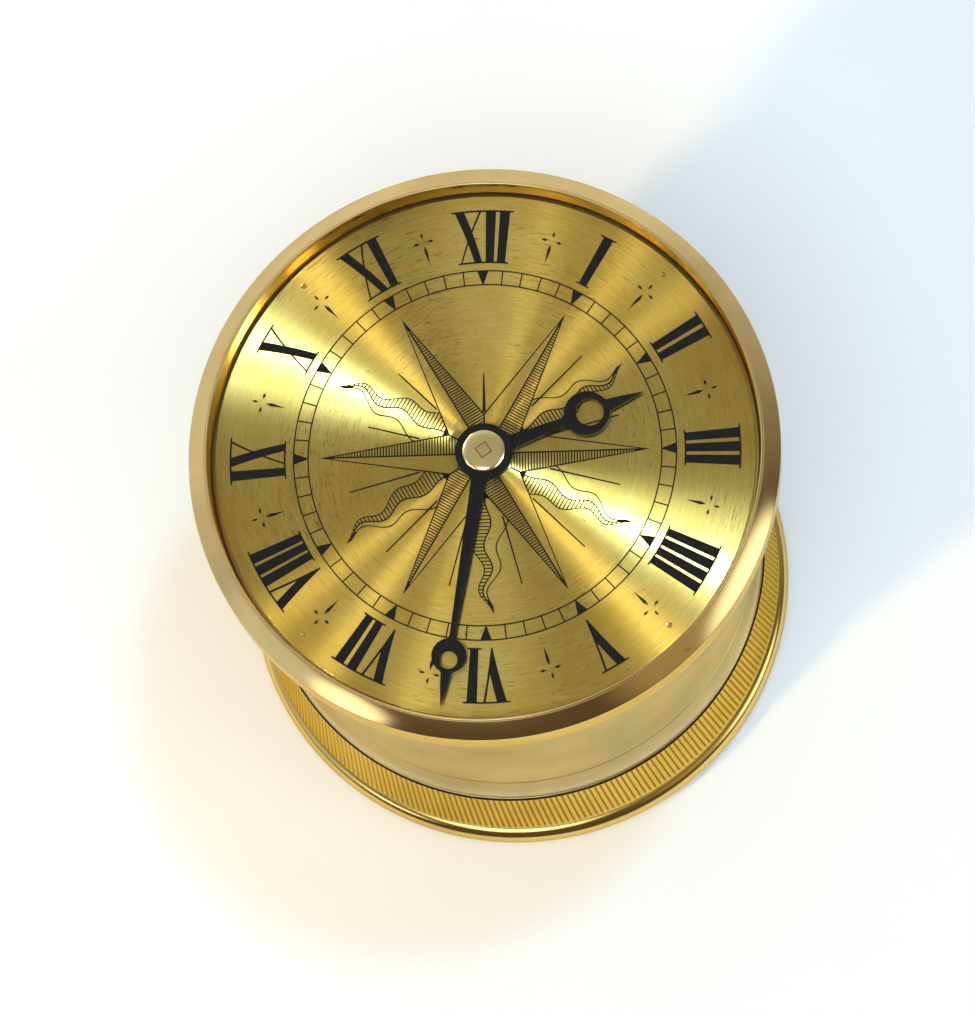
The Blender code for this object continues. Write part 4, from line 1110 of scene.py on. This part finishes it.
# --- underside
def make_cover():
    """Rear cover with turned rings, and its three slotted screws."""
    low, high = heights("back_cover")
    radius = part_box("back_cover")[1].x
    balance = joint_point("balance_swing")
    slot_out, slot_in, key_hole_r, knob_hole_r = 9.6 * MM, 8.0 * MM, 3.0 * MM, 2.2 * MM
    slot = arc(slot_out, 190, 250, 24, balance) + arc(slot_in, 250, 190, 24, balance)
    loops = [circle(radius, points=192), circle(key_hole_r, BARREL), circle(knob_hole_r), slot]
    screws = [f"cover_screw_{k}" for k in (1, 2, 3)]
    loops += [circle(0.8 * MM, axis_of(screw), 24) for screw in screws]
    cover = plate("rear_cover", loops, low, high, 0.12 * MM)
    dress(cover, COVER_BRASS, "case", "satin_brass", "back_cover")
    for number, node in enumerate(screws, 1):
        make_screw(f"cover_fixing_{number}", node, low)


def make_screw(name, node, face):
    """Slotted cheese-head screw whose head bears on a face from below."""
    low, high = heights(node)
    head_r, shank_r, head_top = 1.15 * MM, 0.6 * MM, face - 0.05 * MM
    at = axis_of(node)
    head = rounded([
        (shank_r, head_top, 0.0), (head_r, head_top, 0.05 * MM),
        (head_r, low, 0.14 * MM), (0.001 * MM, low, 0.0),
    ], 4)
    profile = [(0.0, high), (shank_r - 0.1 * MM, high), (shank_r, high - 0.1 * MM)]
    screw = lathe(name, profile + head + [(0.0, low)], 32, at)
    half_w, half_l = 0.16 * MM, head_r * 1.2
    box = [(-half_l, -half_w), (half_l, -half_w), (half_l, half_w), (-half_l, half_w)]
    box = [(x + at[0], y + at[1]) for x, y in box]
    slot = plate(name + "_slot", [box], low - MM, low + (head_top - low) * 0.45)
    apply_boolean(screw, slot, "DIFFERENCE")
    dress(screw, STEEL, "case", "steel", node)


def make_knob():
    """Knurled knob that sets the hands, inside the foot."""
    low, high = heights("set_knob")
    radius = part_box("set_knob")[1].x
    rim_low, rim_high = low + 0.5 * MM, low + 4.8 * MM
    bore_r, neck_r, crown_r = 1.25 * MM, 2.6 * MM, 5.0 * MM

    def knurl(turn, r, z):
        ridge = abs(math.sin(turn * 20))
        inside = radius - 0.3 * MM < r and rim_low < z < rim_high
        return 0.22 * MM * (1 - ridge) if inside else 0.0

    profile = [
        (bore_r, high), (2.5 * MM, high), (neck_r, high - 0.1 * MM),
        (neck_r, low + 5.9 * MM), (2.8 * MM, low + 5.5 * MM), (crown_r, low + 5.2 * MM),
        (radius, rim_high), (radius, rim_high - 0.1 * MM), (radius, low + 2.6 * MM),
        (radius, low + 0.6 * MM), (radius, rim_low), (crown_r, low + 0.1 * MM),
        (4.7 * MM, low), (1.6 * MM, low), (bore_r, low + 0.2 * MM),
    ]
    knob = lathe("knurled_set_knob", profile, 240, ripple=knurl)
    dress(knob, RING_BRASS, "centre_arbor", "polished_brass", "set_knob")


def make_key():
    """Butterfly key: a turned pipe with two rounded wings."""
    low, high = 10.0 * MM, heights("winding_key")[1]
    bore_r, collar_r, waist_r, edge = 1.55 * MM, 2.5 * MM, 2.25 * MM, 0.1 * MM
    pipe = rounded([
        (bore_r, high, edge), (collar_r, high, 2 * edge),
        (collar_r, high - 1.5 * MM, edge), (waist_r, high - 2.0 * MM, edge),
        (waist_r, low + 2.4 * MM, edge), (collar_r, low + 1.9 * MM, edge),
        (collar_r, low, 0.3 * MM), (bore_r, low, edge),
    ])
    key = lathe("butterfly_key", pipe, 64, BARREL)
    wing_r, wing_at, half_thick = 4.0 * MM, 6.0 * MM, 0.7 * MM
    outline = arc(wing_r, -62, 62, 30, (wing_at, 0.0))
    outline += arc(wing_r, 118, 242, 30, (-wing_at, 0.0))
    wings = plate("key_wings", [outline], -half_thick, half_thick, 0.25 * MM)
    wings.data.transform(Matrix.Translation((*BARREL, 8.0 * MM))
                         @ Matrix.Rotation(math.radians(20), 4, "Z")
                         @ Matrix.Rotation(math.radians(90), 4, "X"))
    apply_boolean(key, wings, "UNION")
    dress(key, KEY_BRASS, "barrel_arbor", "polished_brass", "winding_key")


# --- carried-over CAD
BRASS_NODES = (
    "front_plate", "back_plate", "pillar_", "barrel", "centre_wheel", "third_wheel",
    "fourth_wheel", "escape_wheel", "minute_wheel", "hour_wheel", "balance_wheel",
    "balance_cock", "pallet_cock",
)
BLUED_NODES = ("mainspring", "hairspring", "pillar_screw", "cock_screw", "click_screw")


def finish_of(node):
    """Material of a CAD node that is shown as it is."""
    if node == "centre_arbor":
        return GILT_STEEL
    if node.startswith(BLUED_NODES):
        return BLUED_STEEL
    if node.startswith(BRASS_NODES) and not node.startswith("barrel_arbor"):
        return PLATE_BRASS
    return STEEL


def paint_cad_nodes():
    """Give the nodes that no piece replaces their materials."""
    for name, node in frame["nodes"].items():
        if not node.hide_render:
            paint(node, finish_of(name))


# --- stage
DIAL_CENTRE = Vector((0.0, 0.0, FACE_Z))
EYE = DIAL_CENTRE + TRACK_R * Vector((1.812, -6.897, 23.949))
LOOK = Vector((-0.07221, 0.26549, -0.96141))
UPWARD = Vector((0.02895, 0.96407, 0.26405))


def make_camera():
    data = bpy.data.cameras.new("view")
    data.lens = 170.75
    data.sensor_width = 36.0
    data.clip_start = 0.01
    data.clip_end = 20.0
    camera = bpy.data.objects.new("view", data)
    back = -LOOK.normalized()
    right = UPWARD.cross(back).normalized()
    up = back.cross(right)
    axes = Matrix((right, up, back)).transposed()
    camera.matrix_world = Matrix.Translation(EYE) @ axes.to_4x4()
    SCENE.collection.objects.link(camera)
    SCENE.camera = camera


def area_light(name, direction, size, power, colour, lights_metal):
    """A round soft light in this direction from the dial, aimed at it.

    One kind of light only shines in the metal, and the other only lights the table.
    """
    data = bpy.data.lights.new(name, "AREA")
    data.shape = "DISK"
    data.size = size
    data.energy = power
    data.color = colour
    lamp = bpy.data.objects.new(name, data)
    direction = direction.normalized()
    lamp.location = DIAL_CENTRE + direction * (1.5 if lights_metal else 1.6)
    lamp.rotation_mode = "QUATERNION"
    lamp.rotation_quaternion = direction.to_track_quat("Z", "Y")
    lamp.visible_diffuse = not lights_metal
    lamp.visible_glossy = lights_metal
    SCENE.collection.objects.link(lamp)
    return lamp


def streak_direction(azimuth, lean):
    """Direction of a light whose streak on the brushed dial lies at this azimuth."""
    view = (EYE - DIAL_CENTRE).normalized()
    x, y = polar(lean, azimuth)
    x, y = x - view.x, y - view.y
    return Vector((x, y, math.sqrt(max(0.02, 1 - x * x - y * y))))


def make_lights():
    """Small lights draw the streaks on the dial, and three soft ones light the table.

    The streak lights shine on the dial and collet only, and only the hands and the
    collet shade them.
    """
    cold, warm, gold = (0.62, 0.80, 1.0), (1.0, 0.88, 0.58), (1.0, 0.90, 0.55)
    dial_only = bpy.data.collections.new("lit_by_streaks")
    for piece in SCENE.collection.objects:
        if piece.name in ("brushed_dial", "domed_collet"):
            dial_only.objects.link(piece)
    shaders = bpy.data.collections.new("shading_the_streaks")
    for name in ("hour_hand_blade", "minute_hand_blade", "domed_collet"):
        shaders.objects.link(bpy.data.objects[name])
    for name, azimuth, lean, size, power, colour in (
        ("window", 161, 0.66, 0.05, 8.0, cold),
        ("skylight", 331, 0.92, 0.07, 85.0, cold),
        ("ceiling", 233, 0.94, 0.02, 8.0, warm),
        ("sconce", 218, 0.92, 0.02, 7.5, warm),
        ("lamp", 312, 1.10, 0.02, 14.0, gold),
        ("spot", 131, 0.66, 0.02, 3.5, gold),
        ("glow", 254, 0.70, 0.03, 1.5, gold),
    ):
        lamp = area_light(name, streak_direction(azimuth, lean), size, power, colour, True)
        lamp.light_linking.receiver_collection = dial_only
        lamp.light_linking.blocker_collection = shaders
    for name, direction, size, power, colour in (
        ("overhead", (0.1, -0.4, 1.0), 1.2, 12.7, (0.79, 0.91, 1.0)),
        ("low_sun", (-0.66, -0.53, 0.62), 0.14, 10.7, (1.0, 0.70, 0.24)),
        ("sky_fill", (0.22, 0.19, 0.96), 0.16, 7.4, (0.20, 0.55, 1.0)),
    ):
        area_light(name, Vector(direction), size, power, colour, False)


def make_world():
    """Warm room, pale behind and dark in front, with bright patches the brass mirrors."""
    world = bpy.data.worlds.new("room")
    SCENE.world = world
    world.use_nodes = True
    tree = Tree(world.node_tree)
    place = tree.node("TexCoord").outputs["Generated"]
    room = (0.12, 0.085, 0.05)
    # Each colour lies round a direction, and grows between two shares along it.
    for direction, low, high, colour in (
        ((-0.45, 0.85, -0.15), -0.40, 0.60, (0.90, 0.87, 0.80)),
        ((-0.05, 0.15, 0.987), 0.80, 0.96, (0.56, 0.51, 0.36)),
        ((-0.77, -0.40, 0.50), 0.95, 0.985, (0.80, 0.82, 0.78)),
        ((0.62, -0.42, 0.66), 0.93, 0.98, (0.50, 0.38, 0.22)),
        ((-0.10, -0.40, 0.91), 0.970, 0.984, (3.1, 3.3, 3.4)),
        ((-0.55, -0.62, 0.56), 0.985, 0.995, (2.6, 2.5, 2.2)),
        ((0.86, -0.22, 0.46), 0.955, 0.985, (2.2, 2.3, 2.1)),
    ):
        along = tree.vector("DOT_PRODUCT", place, direction, output="Value")
        room = tree.blend(tree.spread(along, low, high), room, colour)
    background = world.node_tree.nodes["Background"]
    tree.feed(background.inputs["Color"], room)
    tree.feed(background.inputs["Strength"], 0.9)


def make_table():
    bpy.ops.mesh.primitive_plane_add(size=3.0, location=(0.0, 0.0, 0.0))
    table = bpy.context.object
    table.name = "table_top"
    table.data.materials.append(white_table())


make_drum()
make_foot()
make_bezel()
make_glass()
make_reflector()
make_dial()
for print_layer in (make_minute_track(), make_numerals(), make_half_marks(), make_rose()):
    dress(print_layer, BLACK_ENAMEL, "case", "black_steel")
make_hands()
make_collet()
make_cover()
make_knob()
make_key()
paint_cad_nodes()
make_camera()
make_lights()
make_world()
make_table()
SCENE.view_settings.view_transform = "Standard"
